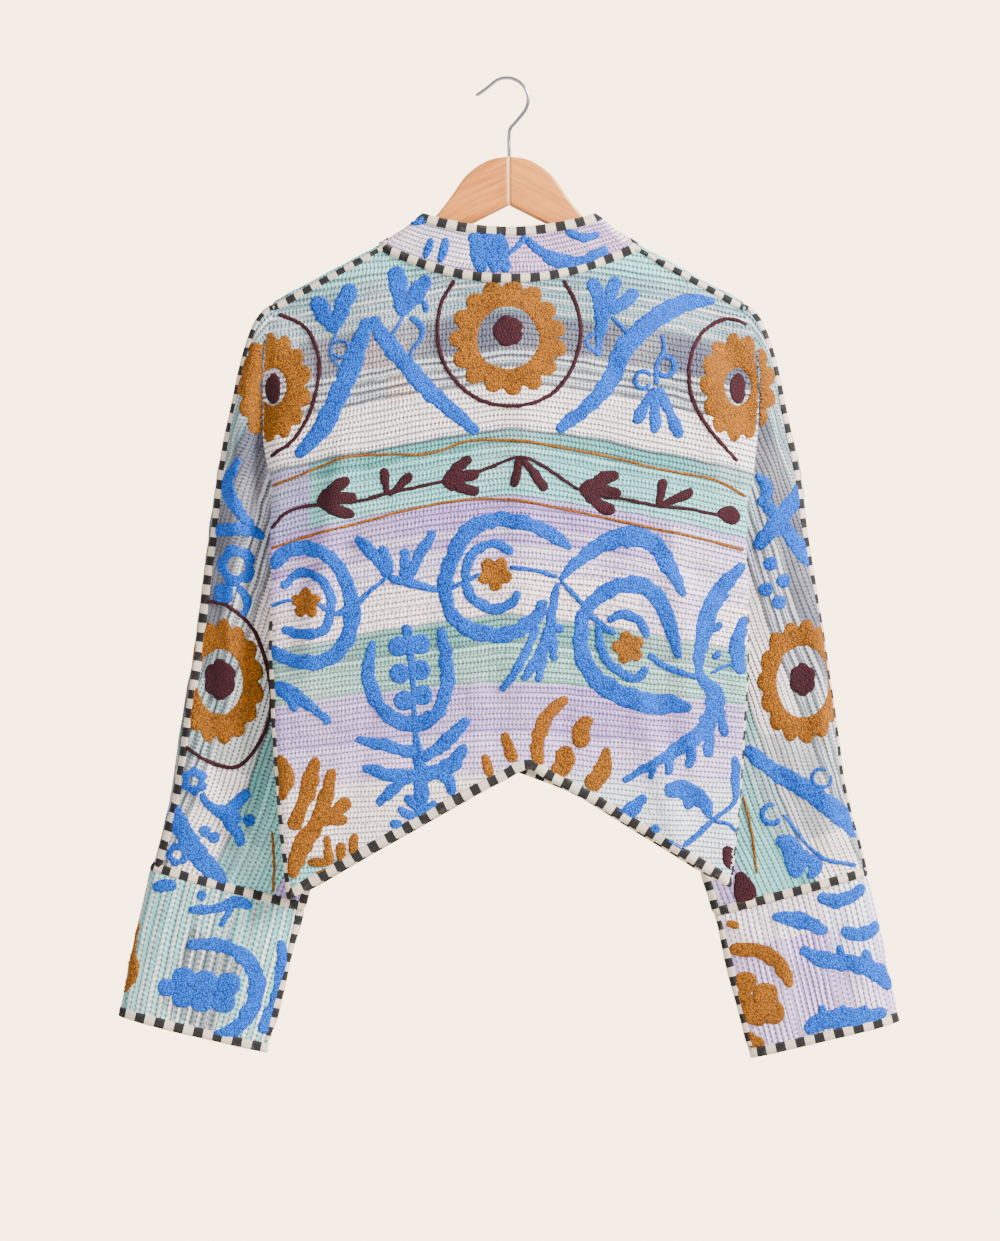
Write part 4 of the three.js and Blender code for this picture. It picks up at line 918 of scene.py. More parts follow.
BACK_CREASES = (
    Crease((-150, -330), (-188, -560), 6.7, 13), Crease((-60, -420), (-95, -640), -3.5, 15),
    Crease((20, -260), (8, -610), 4.6, 18), Crease((95, -350), (70, -600), -3.8, 14),
    Crease((150, -420), (172, -650), 6.1, 13), Crease((205, -480), (120, -430), -3.2, 10),
    Crease((-205, -470), (-140, -430), -6.1, 10), Crease((-120, -560), (-160, -720), -2.9, 12),
    Crease((115, -560), (160, -715), 5.1, 12), Crease((-90, -230), (-60, -300), -2.2, 12),
    Crease((70, -215), (110, -300), -4.2, 12), Crease((-30, -540), (-28, -650), 2.6, 11),
    Crease((60, -520), (45, -655), -3.8, 10), Crease((180, -250), (195, -380), 2.9, 10),
    Crease((-246, -300), (-262, -560), 5.6, 9), Crease((-285, -520), (-268, -735), -3.8, 10),
    Crease((-300, -640), (-240, -720), 5.1, 10), Crease((252, -300), (262, -520), -3.2, 9),
    Crease((282, -480), (300, -700), 6.1, 10), Crease((235, -600), (290, -735), -3.5, 10),
)
FRONT_CREASES = (
    (40, -300, 60, -600, 2.2, 15), (120, -330, 100, -640, -2.4, 14), (180, -420, 160, -700, 2.0, 12),
    (230, -300, 250, -560, -2.0, 10), (270, -500, 290, -720, 2.2, 10),
)
CUFF_CREASES = (
    (250, -770, 262, -880, 1.8, 8), (300, -760, 318, -860, -1.8, 9), (225, -800, 300, -840, 1.2, 9),
)


class Graph:
    """A material's node tree, and one method for any node in it."""

    def __init__(self, name: str, world: bpy.types.World | None = None) -> None:
        """Start a material with its shader, or take up a world's background."""
        self.material = world or bpy.data.materials.new(name)
        self.material.use_nodes = True
        self.tree = self.material.node_tree
        self.shader = self.tree.nodes["Background" if world else "Principled BSDF"]

    def node(self, kind: str, settings: dict | None = None, inputs: dict | None = None,
             out: int | str = 0) -> "Num":
        """Add a node.

        Args:
            kind: Its type, after ShaderNode.
            settings: Its own settings, set first. stops holds a ramp's.
            inputs: Values or links of its sockets, by name or number.
            out: The output wanted.

        Returns:
            That output.
        """
        made = self.tree.nodes.new("ShaderNode" + kind)
        for key, value in (settings or {}).items():
            if key == "stops":
                self.stops(made.color_ramp, value)
            else:
                setattr(made, key, value)
        for key, value in (inputs or {}).items():
            self.feed(made.inputs[key], value)
        return Num(self, made.outputs[out])

    def feed(self, socket: bpy.types.NodeSocket, value: "Num | float | tuple") -> None:
        """Set a socket, or link it."""
        if isinstance(value, Num):
            self.tree.links.new(value.socket, socket)
        elif isinstance(value, tuple) and socket.type == "RGBA":
            socket.default_value = (*value, 1)
        else:
            socket.default_value = value

    @staticmethod
    def stops(ramp: bpy.types.ColorRamp, stops: Sequence[tuple[float, Colour]]) -> None:
        """Set a ramp's colours."""
        for i, (place, colour) in enumerate(stops):
            mark = ramp.elements[i] if i < 2 else ramp.elements.new(place)
            mark.position = place
            mark.color = (*colour, 1)

    def blend(self, share: "Num | float", a: "Num | Colour", b: "Num | Colour") -> "Num":
        """Mix two colours."""
        return self.node("Mix", {"data_type": "RGBA"}, {0: share, 6: a, 7: b}, 2)

    def noise(self, where: "Num", scale: float, detail: float = 2, rough: float = 0.5) -> "Num":
        """Give noise from 0 to 1 at a scale in lumps to the metre."""
        return self.node("TexNoise", None, {"Vector": where, "Scale": scale, "Detail": detail,
                                            "Roughness": rough})

    def dress(self, sockets: dict) -> bpy.types.Material:
        """Set the shader's sockets and give the material."""
        for key, value in sockets.items():
            self.feed(self.shader.inputs[key], value)
        return self.material

    def bump(self, height: "Num", distance: float, strength: float = 1) -> "Num":
        """Turn a height from 0 to 1 into a normal."""
        return self.node("Bump", None, {"Strength": strength, "Distance": distance, "Height": height})


class Num:
    """A node's output that takes part in sums."""

    def __init__(self, graph: Graph, socket: bpy.types.NodeSocket) -> None:
        """Wrap the socket."""
        self.graph = graph
        self.socket = socket

    def math(self, operation: str, *others: "Num | float") -> "Num":
        """Add a Math node."""
        inputs = dict(enumerate((self, *others)))
        return self.graph.node("Math", {"operation": operation}, inputs)

    def __add__(self, other: "Num | float") -> "Num":
        """Add."""
        return self.math("ADD", other)

    def __radd__(self, other: "Num | float") -> "Num":
        """Add to a number."""
        return self.math("ADD", other)

    def __sub__(self, other: "Num | float") -> "Num":
        """Subtract."""
        return self.math("SUBTRACT", other)

    def __rsub__(self, other: "Num | float") -> "Num":
        """Subtract from a number."""
        return self.graph.node("Math", {"operation": "SUBTRACT"}, {0: other, 1: self})

    def __mul__(self, other: "Num | float") -> "Num":
        """Multiply."""
        return self.math("MULTIPLY", other)

    def __rmul__(self, other: "Num | float") -> "Num":
        """Multiply a number."""
        return self.math("MULTIPLY", other)

    def __truediv__(self, other: "Num | float") -> "Num":
        """Divide."""
        return self.math("DIVIDE", other)

    def ramp(self, low: float, high: float, a: float = 0, b: float = 1) -> "Num":
        """Go softly from a at low to b at high, and keep them beyond."""
        return self.graph.node("MapRange", {"interpolation_type": "SMOOTHSTEP"},
                               {0: self, 1: low, 2: high, 3: a, 4: b})

    def between(self, low: float, high: float, soft: float) -> "Num":
        """Be 1 from low to high and 0 beyond."""
        return self.ramp(low - soft, low + soft) * self.ramp(high - soft, high + soft, 1, 0)

    def stripe(self, pitch: float, duty: float, soft: float = 0.12) -> "Num":
        """Be 1 on a share of each pitch."""
        place = (self / pitch).math("FRACT")
        return (place - 0.5).math("ABSOLUTE").ramp(duty / 2 - soft, duty / 2 + soft, 1, 0)


def corners(graph: Graph, layer: str) -> tuple[Num, Num, Num]:
    """Give a layer's place as a vector, and its two numbers in millimetres."""
    where = graph.node("UVMap", {"uv_map": layer})
    parts = graph.node("SeparateXYZ", None, {0: where})
    other = Num(graph, parts.socket.node.outputs[1])
    return where, parts * 1000, other * 1000


class Run(Enum):
    """Which way a stripe or a stitch row runs on the flat cloth."""

    ACROSS = "across"
    DOWN = "down"


@dataclass(frozen=True)
class Stripe:
    """Woven or stitched lines within a band of the cloth."""

    low: float
    high: float
    pitch: float
    duty: float
    colour: Colour
    strength: float = 0.8
    dash: float = 0
    side: tuple[float, float] = (-900, 900)


@dataclass(frozen=True)
class Scrap:
    """A sewn-on or faded patch of another colour."""

    left: float
    right: float
    low: float
    high: float
    colour: Colour
    strength: float = 0.85
    turn: float = 0


@dataclass(frozen=True)
class Kantha:
    """Old cotton in layers, held by rows of running stitch: bands, stripes, scraps, puckers and stitches,
    with painted shade in the stitch dimples and in the grooves between rows.
    """

    name: str
    bands: tuple[tuple[float, Colour], ...]
    stripes: tuple[Stripe, ...]
    scraps: tuple[Scrap, ...] = ()
    reach: float = 640
    run: Run = Run.ACROSS
    row_pitch: float = ROW_PITCH
    stitch_pitch: float = 3.6
    band_soft: float = 1.0

    def material(self) -> bpy.types.Material:
        """Make the finish."""
        g = Graph(self.name)
        where, u, v = corners(g, "Flat")
        if self.run is Run.DOWN:
            u, v = v, u
        wobble = g.noise(where, 45, 2) - 0.5
        down = v + wobble * 5
        stops = []
        for (low, colour), (high, _) in zip(self.bands, (*self.bands[1:], (self.reach, None))):
            stops += [((low + self.band_soft) / self.reach, colour),
                      ((high - self.band_soft) / self.reach, colour)]
        tone = g.node("ValToRGB", {"stops": stops}, {0: down / self.reach})
        for scrap in self.scraps:
            across, along = self.turned(u + wobble * 6, down, scrap)
            mask = across.between(scrap.left, scrap.right, 1.2) * along.between(scrap.low, scrap.high, 1.2)
            tone = g.blend(mask * scrap.strength, tone, scrap.colour)
        for s in self.stripes:
            mask = down.between(s.low, s.high, 1.5) * down.stripe(s.pitch, s.duty)
            if s.dash:
                row = (down / s.pitch).math("FLOOR") * (s.dash * 0.37)
                mask = mask * (u + row).stripe(s.dash, 0.5)
            if s.side != (-900, 900):
                mask = mask * u.between(*s.side, 3)
            tone = g.blend(mask * s.strength, tone, s.colour)
        shift = (v / self.row_pitch).math("FLOOR") * (self.stitch_pitch * 0.44)
        stitch = (u + shift).stripe(self.stitch_pitch, 0.46, 0.16)
        groove = v.stripe(self.row_pitch, 0.30, 0.14)
        dimple = stitch * groove
        fade = g.noise(where, 9, 3)
        worn = g.noise(where, 160, 4, 0.65)
        thread = g.noise(where, 900, 2, 0.6)
        tone = g.blend(fade.ramp(0.42, 0.72) * 0.22, tone, rgb(236, 233, 232))
        # Stitch dimples: partly the running stitch's own thread colour, partly painted shade in the dimples
        # that the bump sinks.
        tone = g.blend(dimple * 0.62, tone, rgb(104, 124, 150))
        # Painted shade: the grooves between the quilted rows, which the surface and the bump sink, are
        # darkened.
        tone = g.blend(groove * 0.16, tone, rgb(96, 104, 120))
        tone = g.blend(worn.ramp(0.5, 0.75) * 0.3, tone, rgb(120, 126, 138))
        tone = g.blend(thread.ramp(0.45, 0.8) * 0.14, tone, rgb(240, 238, 236))
        waffle = (u * (2 * math.pi / self.stitch_pitch)).math("SINE") * 0.16
        pull = g.noise(g.node("Mapping", None, {0: where, 3: (1, 0.22, 1)}), 190, 2)
        height = 0.6 - dimple * 0.6 - groove * 0.3 + waffle + (pull - 0.5) * 0.9 + (thread - 0.5) * 0.3
        return g.dress({"Base Color": tone, "Roughness": 0.92, "Sheen Weight": 0.08, "Sheen Roughness": 0.6,
                        "Specular IOR Level": 0.2, "Normal": g.bump(height, 0.0024, 1)})

    @staticmethod
    def turned(u: Num, v: Num, scrap: Scrap) -> tuple[Num, Num]:
        """Turn the cloth's place about a scrap's middle."""
        if not scrap.turn:
            return u, v
        x, y = (scrap.left + scrap.right) / 2, (scrap.low + scrap.high) / 2
        cos, sin = math.cos(math.radians(scrap.turn)), math.sin(math.radians(scrap.turn))
        return ((u - x) * cos + (v - y) * sin + x), ((v - y) * cos - (u - x) * sin + y)


AQUA, DEEP_AQUA, TEAL = rgb(176, 218, 216), rgb(140, 196, 194), rgb(150, 196, 190)
LILAC, PALE_LILAC, CREAM = rgb(203, 184, 220), rgb(222, 210, 232), rgb(238, 232, 230)
GREY_MAUVE, SLATE, BROWN = rgb(136, 134, 150), rgb(92, 102, 116), rgb(112, 92, 98)
PINK_WHITE, BLUE_WHITE = rgb(240, 230, 232), rgb(222, 230, 238)

BODY_CLOTH = Kantha(
    "kantha_bands",
    ((0, AQUA), (18, rgb(176, 200, 204)), (62, GREY_MAUVE), (97, rgb(212, 214, 218)), (128, CREAM),
     (170, DEEP_AQUA), (186, AQUA), (232, LILAC), (278, PALE_LILAC), (300, PINK_WHITE), (342, TEAL),
     (366, rgb(190, 220, 212)), (404, LILAC), (452, PALE_LILAC), (486, CREAM), (560, rgb(205, 228, 226))),
    (Stripe(10, 62, 5.2, 0.4, rgb(96, 118, 128), 0.62), Stripe(30, 62, 10.4, 0.25, CREAM, 0.6),
     Stripe(62, 97, 3.9, 0.42, rgb(96, 84, 100), 0.7, 4.3),
     Stripe(62, 97, 5.9, 0.3, rgb(96, 136, 172), 0.7, 7.1),
     Stripe(97, 129, 7.6, 0.42, rgb(74, 84, 96), 0.85),
     Stripe(129, 170, 4.7, 0.34, rgb(120, 148, 180), 0.62, 3.9),
     Stripe(168, 174, 6, 0.5, rgb(112, 122, 136), 0.8),
     Stripe(174, 232, 4.7, 0.3, rgb(84, 132, 140), 0.4, 4.2),
     Stripe(176, 200, 9, 0.3, rgb(112, 172, 170), 0.5), Stripe(228, 234, 5, 0.5, rgb(96, 96, 120), 0.5, 5),
     Stripe(236, 300, 6.4, 0.28, rgb(170, 146, 190), 0.5, 7.5), Stripe(250, 300, 15, 0.3, CREAM, 0.6),
     Stripe(286, 342, 8.2, 0.24, rgb(132, 104, 126), 0.62, 8.4),
     Stripe(342, 404, 8.8, 0.22, rgb(84, 112, 116), 0.7),
     Stripe(362, 404, 4.4, 0.36, rgb(110, 118, 124), 0.6, 4.6), Stripe(404, 490, 9.5, 0.3, PALE_LILAC, 0.8),
     Stripe(404, 560, 7.3, 0.2, rgb(168, 146, 190), 0.4, 12)),
    (Scrap(-230, -184, 172, 232, LILAC, 0.8), Scrap(-230, -196, 60, 120, CREAM, 0.5),
     Scrap(-140, -96, 74, 100, rgb(206, 176, 176), 0.55, 12),
     Scrap(-112, -78, 106, 132, rgb(238, 222, 214), 0.7, -8),
     Scrap(120, 180, 296, 340, PALE_LILAC, 0.7), Scrap(60, 230, 480, 640, BLUE_WHITE, 0.6),
     Scrap(150, 230, 236, 300, rgb(232, 226, 236), 0.6), Scrap(-230, -150, 560, 640, AQUA, 0.9),
     Scrap(-640, -520, 92, 210, TEAL, 0.45), Scrap(600, 700, 96, 190, rgb(196, 200, 204), 0.7)),
)
LEFT_CUFF_CLOTH = Kantha(
    "kantha_aqua_cuff",
    ((0, AQUA), (60, rgb(186, 216, 216)), (100, AQUA), (150, rgb(198, 222, 222)), (200, AQUA)),
    (Stripe(0, 400, 9.5, 0.3, CREAM, 0.8), Stripe(0, 400, 6.1, 0.3, rgb(118, 172, 176), 0.5, 6.5),
     Stripe(40, 150, 17, 0.22, rgb(128, 142, 150), 0.5)),
    (Scrap(38, 98, 46, 104, rgb(150, 144, 150), 0.8, 14),),
    reach=400, run=Run.DOWN,
)
RIGHT_CUFF_CLOTH = Kantha(
    "kantha_lilac_cuff",
    ((0, rgb(212, 196, 224)), (60, LILAC), (110, PALE_LILAC), (170, LILAC)),
    (Stripe(0, 400, 5.6, 0.32, rgb(238, 232, 240), 0.75), Stripe(0, 400, 11.2, 0.2, rgb(176, 156, 196), 0.5)),
    (Scrap(-10, 30, 0, 400, CREAM, 0.85), Scrap(-10, 60, 100, 190, BLUE_WHITE, 0.5)),
    reach=400, run=Run.DOWN,
)
COLLAR_CLOTH = Kantha(
    "kantha_collar_cloth",
    ((0, rgb(226, 220, 232)), (20, PINK_WHITE), (44, rgb(214, 200, 224))),
    (Stripe(0, 60, 5.1, 0.3, rgb(186, 168, 204), 0.5, 9),
     Stripe(0, 60, 4.7, 0.3, rgb(150, 150, 176), 0.3, 4)),
    (Scrap(-12, 120, 0, 60, rgb(212, 190, 218), 0.8), Scrap(-110, -50, 0, 60, rgb(232, 226, 238), 0.6)),
    reach=60,
)


@dataclass(frozen=True)
class Floss:
    """Embroidery thread worked densely in chain stitch, with painted highlight on the loops' tops and strands
    and painted shade between the loops.
    """

    name: str
    colour: Colour
    # A lit copy of the thread's colour, for painted highlight, and a shaded copy, for painted shade.
    light: Colour
    dark: Colour

    def material(self) -> bpy.types.Material:
        """Make the finish."""
        g = Graph(self.name)
        where = g.node("TexCoord", None, None, "Object")
        bend = g.node("TexNoise", None, {"Vector": where, "Scale": 240, "Detail": 1}, 1)
        warped = g.node("VectorMath", {"operation": "MULTIPLY_ADD"},
                        {0: bend, 1: (0.0032,) * 3, 2: where})
        loops = g.node("TexVoronoi", {"feature": "F1"}, {"Vector": warped, "Scale": 620})
        strand = g.noise(warped, 1100, 2, 0.6)
        shade = g.noise(where, 55, 3)
        # Painted highlight on the loops' raised middles and on the strands, painted shade in the hollows
        # between the loops.
        tone = g.blend(loops.ramp(0.25, 0.62), self.light, self.colour)
        tone = g.blend(loops.ramp(0.55, 0.85) * 0.85, tone, self.dark)
        tone = g.blend(strand.ramp(0.5, 0.75) * 0.4, tone, self.light)
        tone = g.blend(shade.ramp(0.35, 0.7) * 0.25, tone, self.dark)
        height = 1 - loops.ramp(0.1, 0.75) * 0.8 + (strand - 0.5) * 0.3
        return g.dress({"Base Color": tone, "Roughness": 0.7, "Sheen Weight": 0.03, "Sheen Roughness": 0.4,
                        "Specular IOR Level": 0.16, "Normal": g.bump(height, 0.0011, 0.85)})


FLOSSES = {
    # Each thread: its colour, a lit copy for painted highlight and a shaded copy for painted shade.
    "blue": Floss("blue_chain_stitch", rgb(44, 132, 210), rgb(84, 168, 234), rgb(16, 84, 160)),
    "mustard": Floss("mustard_chain_stitch", rgb(176, 126, 42), rgb(206, 158, 72), rgb(118, 78, 20)),
    "maroon": Floss("maroon_chain_stitch", rgb(98, 16, 40), rgb(122, 32, 56), rgb(58, 6, 22)),
}


@dataclass(frozen=True)
class BlockStripe:
    """Cotton tape in dark and cream blocks, with a line of stitching near each edge."""

    name: str = "block_striped_tape"
    block: float = 9
    dark: Colour = rgb(44, 41, 44)
    cream: Colour = rgb(222, 214, 204)

    def material(self) -> bpy.types.Material:
        """Make the finish."""
        g = Graph(self.name)
        where, along, across = corners(g, "Tape")
        wide = g.noise(where, 60, 1) - 0.5
        block = (along + wide * 1.6).stripe(2 * self.block, 0.5, 0.012)
        weave = g.noise(where, 1500, 2, 0.7)
        worn = g.noise(where, 120, 3)
        tone = g.blend(block, self.cream, self.dark)
        tone = g.blend(weave.ramp(0.3, 0.8) * 0.16, tone, rgb(150, 145, 142))
        tone = g.blend(worn.ramp(0.55, 0.8) * 0.2, tone, rgb(172, 164, 158))
        seam = (across.math("ABSOLUTE") - 2.9).math("ABSOLUTE").ramp(0.15, 0.5, 1, 0)
        stitch = seam * along.stripe(2.6, 0.62, 0.1)
        tone = g.blend(stitch * 0.35, tone, rgb(120, 112, 108))
        height = 0.6 - seam * 0.35 + stitch * 0.3 + (weave - 0.5) * 0.4
        return g.dress({"Base Color": tone, "Roughness": 0.85, "Sheen Weight": 0.03,
                        "Specular IOR Level": 0.15,
                        "Normal": g.bump(height, 0.0007, 0.8)})


@dataclass(frozen=True)
class Beech:
    """Pale varnished wood with a fine straight grain."""

    name: str = "pale_beech"

    def material(self) -> bpy.types.Material:
        """Make the finish."""
        g = Graph(self.name)
        where = g.node("UVMap", {"uv_map": "Grain"})
        long = g.node("Mapping", None, {0: where, 3: (9, 130, 1)})
        grain = g.noise(long, 1.6, 6, 0.6)
        fine = g.noise(g.node("Mapping", None, {0: where, 3: (70, 900, 1)}), 1, 3, 0.6)
        broad = g.noise(where, 9, 2)
        tone = g.blend(grain.ramp(0.3, 0.7), rgb(228, 182, 132), rgb(208, 152, 98))
        tone = g.blend(fine.ramp(0.55, 0.8) * 0.35, tone, rgb(182, 122, 72))
        tone = g.blend(broad.ramp(0.4, 0.7) * 0.2, tone, rgb(236, 196, 150))
        rough = fine.ramp(0.3, 0.8, 0.34, 0.5)
        return g.dress({"Base Color": tone, "Roughness": rough, "Coat Weight": 0.25, "Coat Roughness": 0.25,
                        "Normal": g.bump(fine, 0.0002, 0.5)})


@dataclass(frozen=True)
class Chrome:
    """Bright plated wire."""

    name: str = "bright_wire"

    def material(self) -> bpy.types.Material:
        """Make the finish."""
        g = Graph(self.name)
        where = g.node("TexCoord", None, None, "Object")
        smear = g.noise(where, 90, 3)
        return g.dress({"Base Color": (0.34, 0.34, 0.36), "Metallic": 1.0,
                        "Roughness": smear.ramp(0.3, 0.8, 0.14, 0.3)})


class Trimmer:
    """Lays tapes over seams and folds bindings over raw edges."""

    STEP = 2
    HALF = 4.3
    FLAT = ((-1, -0.4), (-0.93, 0.95), (-0.5, 1.35), (0, 1.45), (0.5, 1.35), (0.93, 0.95), (1, -0.4))
    BAND = 8.4
    OUTER = ((1, -0.4), (0.94, 1.0), (0.6, 1.4), (0.25, 1.5))
    PAST = 1.4

    def __init__(self, cloths: Sequence[Cloth], material: bpy.types.Material) -> None:
        """Gather all the cloth that a tape may lie on."""
        points, faces, start = [], [], 0
        for cloth in cloths:
            points += [Vector(p) for p in cloth.creased]
            faces += [tuple(v + start for v in f) for f in cloth.faces]
            start += len(cloth.creased)
        self.tree = BVHTree.FromPolygons(points, faces)
        self.material = material
        self.noise = Noise(40)

    def run(self, line: Points, closed: bool) -> Points:
        """Space a line's points evenly."""
        count = max(4, round(length_of(line) / self.STEP))
        return at_shares(line, np.linspace(0, 1, count + 1))[:-1 if closed else None]

    def frames(self, line: Points, closed: bool) -> tuple[Points, Points, Points]:
        """Give the way, the cloth's normal and the hand to the side at each point."""
        if closed:
            way = np.roll(line, -1, axis=0) - np.roll(line, 1, axis=0)
        else:
            way = np.gradient(line, axis=0)
        way /= np.linalg.norm(way, axis=1, keepdims=True)
        rough = np.array([self.tree.find_nearest(Vector(p))[1] for p in line])
        hand = np.cross(way, rough)
        hand /= np.maximum(np.linalg.norm(hand, axis=1, keepdims=True), 1e-9)
        normals = []
        for p, h in zip(line, hand):
            found = [self.tree.find_nearest(Vector(p + h * d))[1] for d in (-2.5, 2.5)]
            normals.append(np.array(found[0] + found[1]))
        normal = self.soften(np.array(normals), closed)
        normal /= np.maximum(np.linalg.norm(normal, axis=1, keepdims=True), 1e-9)
        hand = np.cross(way, normal)
        return way, normal, hand / np.linalg.norm(hand, axis=1, keepdims=True)

    @staticmethod
    def soften(values: Points, closed: bool, times: int = 2) -> Points:
        """Even values out along a run."""
        for _ in range(times):
            ends = (values[-1:], values[:1]) if closed else (values[:1], values[-1:])
            wide = np.concatenate([ends[0], values, ends[1]])
            values = wide[:-2] * 0.25 + wide[1:-1] * 0.5 + wide[2:] * 0.25
        return values

    def on_cloth(self, places: Points, lift: float) -> Points:
        """Move places onto the cloth and then out by a lift."""
        laid = []
        for p in places:
            spot, normal, _, _ = self.tree.find_nearest(Vector(p))
            laid.append(np.array(spot + normal * lift))
        return np.array(laid)

    def flat_tape(self, name: str, line: Points, closed: bool = False) -> bpy.types.Object:
        """Lay a tape flat over a seam."""
        line = self.run(line, closed)
        _, _, hand = self.frames(line, closed)
        rings = [self.soften(self.on_cloth(line + hand * (self.HALF * a), lift), closed)
                 for a, lift in self.FLAT]
        across = [a * self.HALF for a, _ in self.FLAT]
        return self.strip(name, np.array(rings).swapaxes(0, 1), across, closed)

    def binding(self, name: str, line: Points, closed: bool = False) -> bpy.types.Object:
        """Fold a tape over a raw edge, to both faces of the cloth."""
        line = self.run(line, closed)
        _, normal, hand = self.frames(line, closed)
        reach = [np.linalg.norm(self.on_cloth(line + hand * (6 * sign), 0) - line, axis=1).sum()
                 for sign in (-1, 1)]
        hand = hand * (1 if reach[1] > reach[0] else -1)
        rings = [self.soften(self.on_cloth(line + hand * (self.BAND * a), lift), closed) for a,
                 lift in self.OUTER]
        near = line + hand * 2
        normal = self.soften(np.array([self.tree.find_nearest(Vector(p))[1] for p in near]), closed, 4)
        under = -WALL - 1.3
        rings.append(line + normal * 1.2 - hand * 0.7)
        rings.append(line + normal * (under / 2 + 0.4) - hand * self.PAST)
        rings.append(line + normal * under - hand * 0.7)
        for a, lift in self.OUTER[::-1]:
            drop = under if lift > 0 else -WALL + 0.4
            rings.append(self.soften(self.on_cloth(line + hand * (self.BAND * a), drop), closed))
        across = [self.BAND * (a - 0.5) for a, _ in self.OUTER]
        across = across + [-self.BAND / 2 - 1, -self.BAND / 2 - 2, -self.BAND / 2 - 1] + across[::-1]
        return self.strip(name, np.array(rings).swapaxes(0, 1), across, closed)

    def strip(self, name: str, rings: Points, across: Sequence[float], closed: bool) -> bpy.types.Object:
        """Join cross-sections into one tape with its length on it."""
        count, width = rings.shape[:2]
        middle = rings[:, width // 2]
        steps = np.linalg.norm(np.diff(middle, axis=0), axis=1)
        along = np.concatenate([[0], np.cumsum(steps)])
        total = along[-1] + np.linalg.norm(middle[-1] - middle[0])
        if closed:
            blocks = max(1, round(total / (2 * BlockStripe.block)))
            along, total = along * (blocks * 2 * BlockStripe.block / total), blocks * 2 * BlockStripe.block
        ends = np.append(along, total)
        faces, marks = [], []
        for i in range(count if closed else count - 1):
            j = (i + 1) % count
            for k in range(width - 1):
                faces.append((i * width + k, i * width + k + 1, j * width + k + 1, j * width + k))
                marks += [(ends[i], across[k]), (ends[i], across[k + 1]), (ends[i + 1], across[k + 1]),
                          (ends[i + 1], across[k])]
        obj = new_object(name, rings.reshape(-1, 3), faces, self.material)
        layer = obj.data.uv_layers.new(name="Tape")
        layer.data.foreach_set("uv", (np.array(marks) * MM).reshape(-1))
        return obj


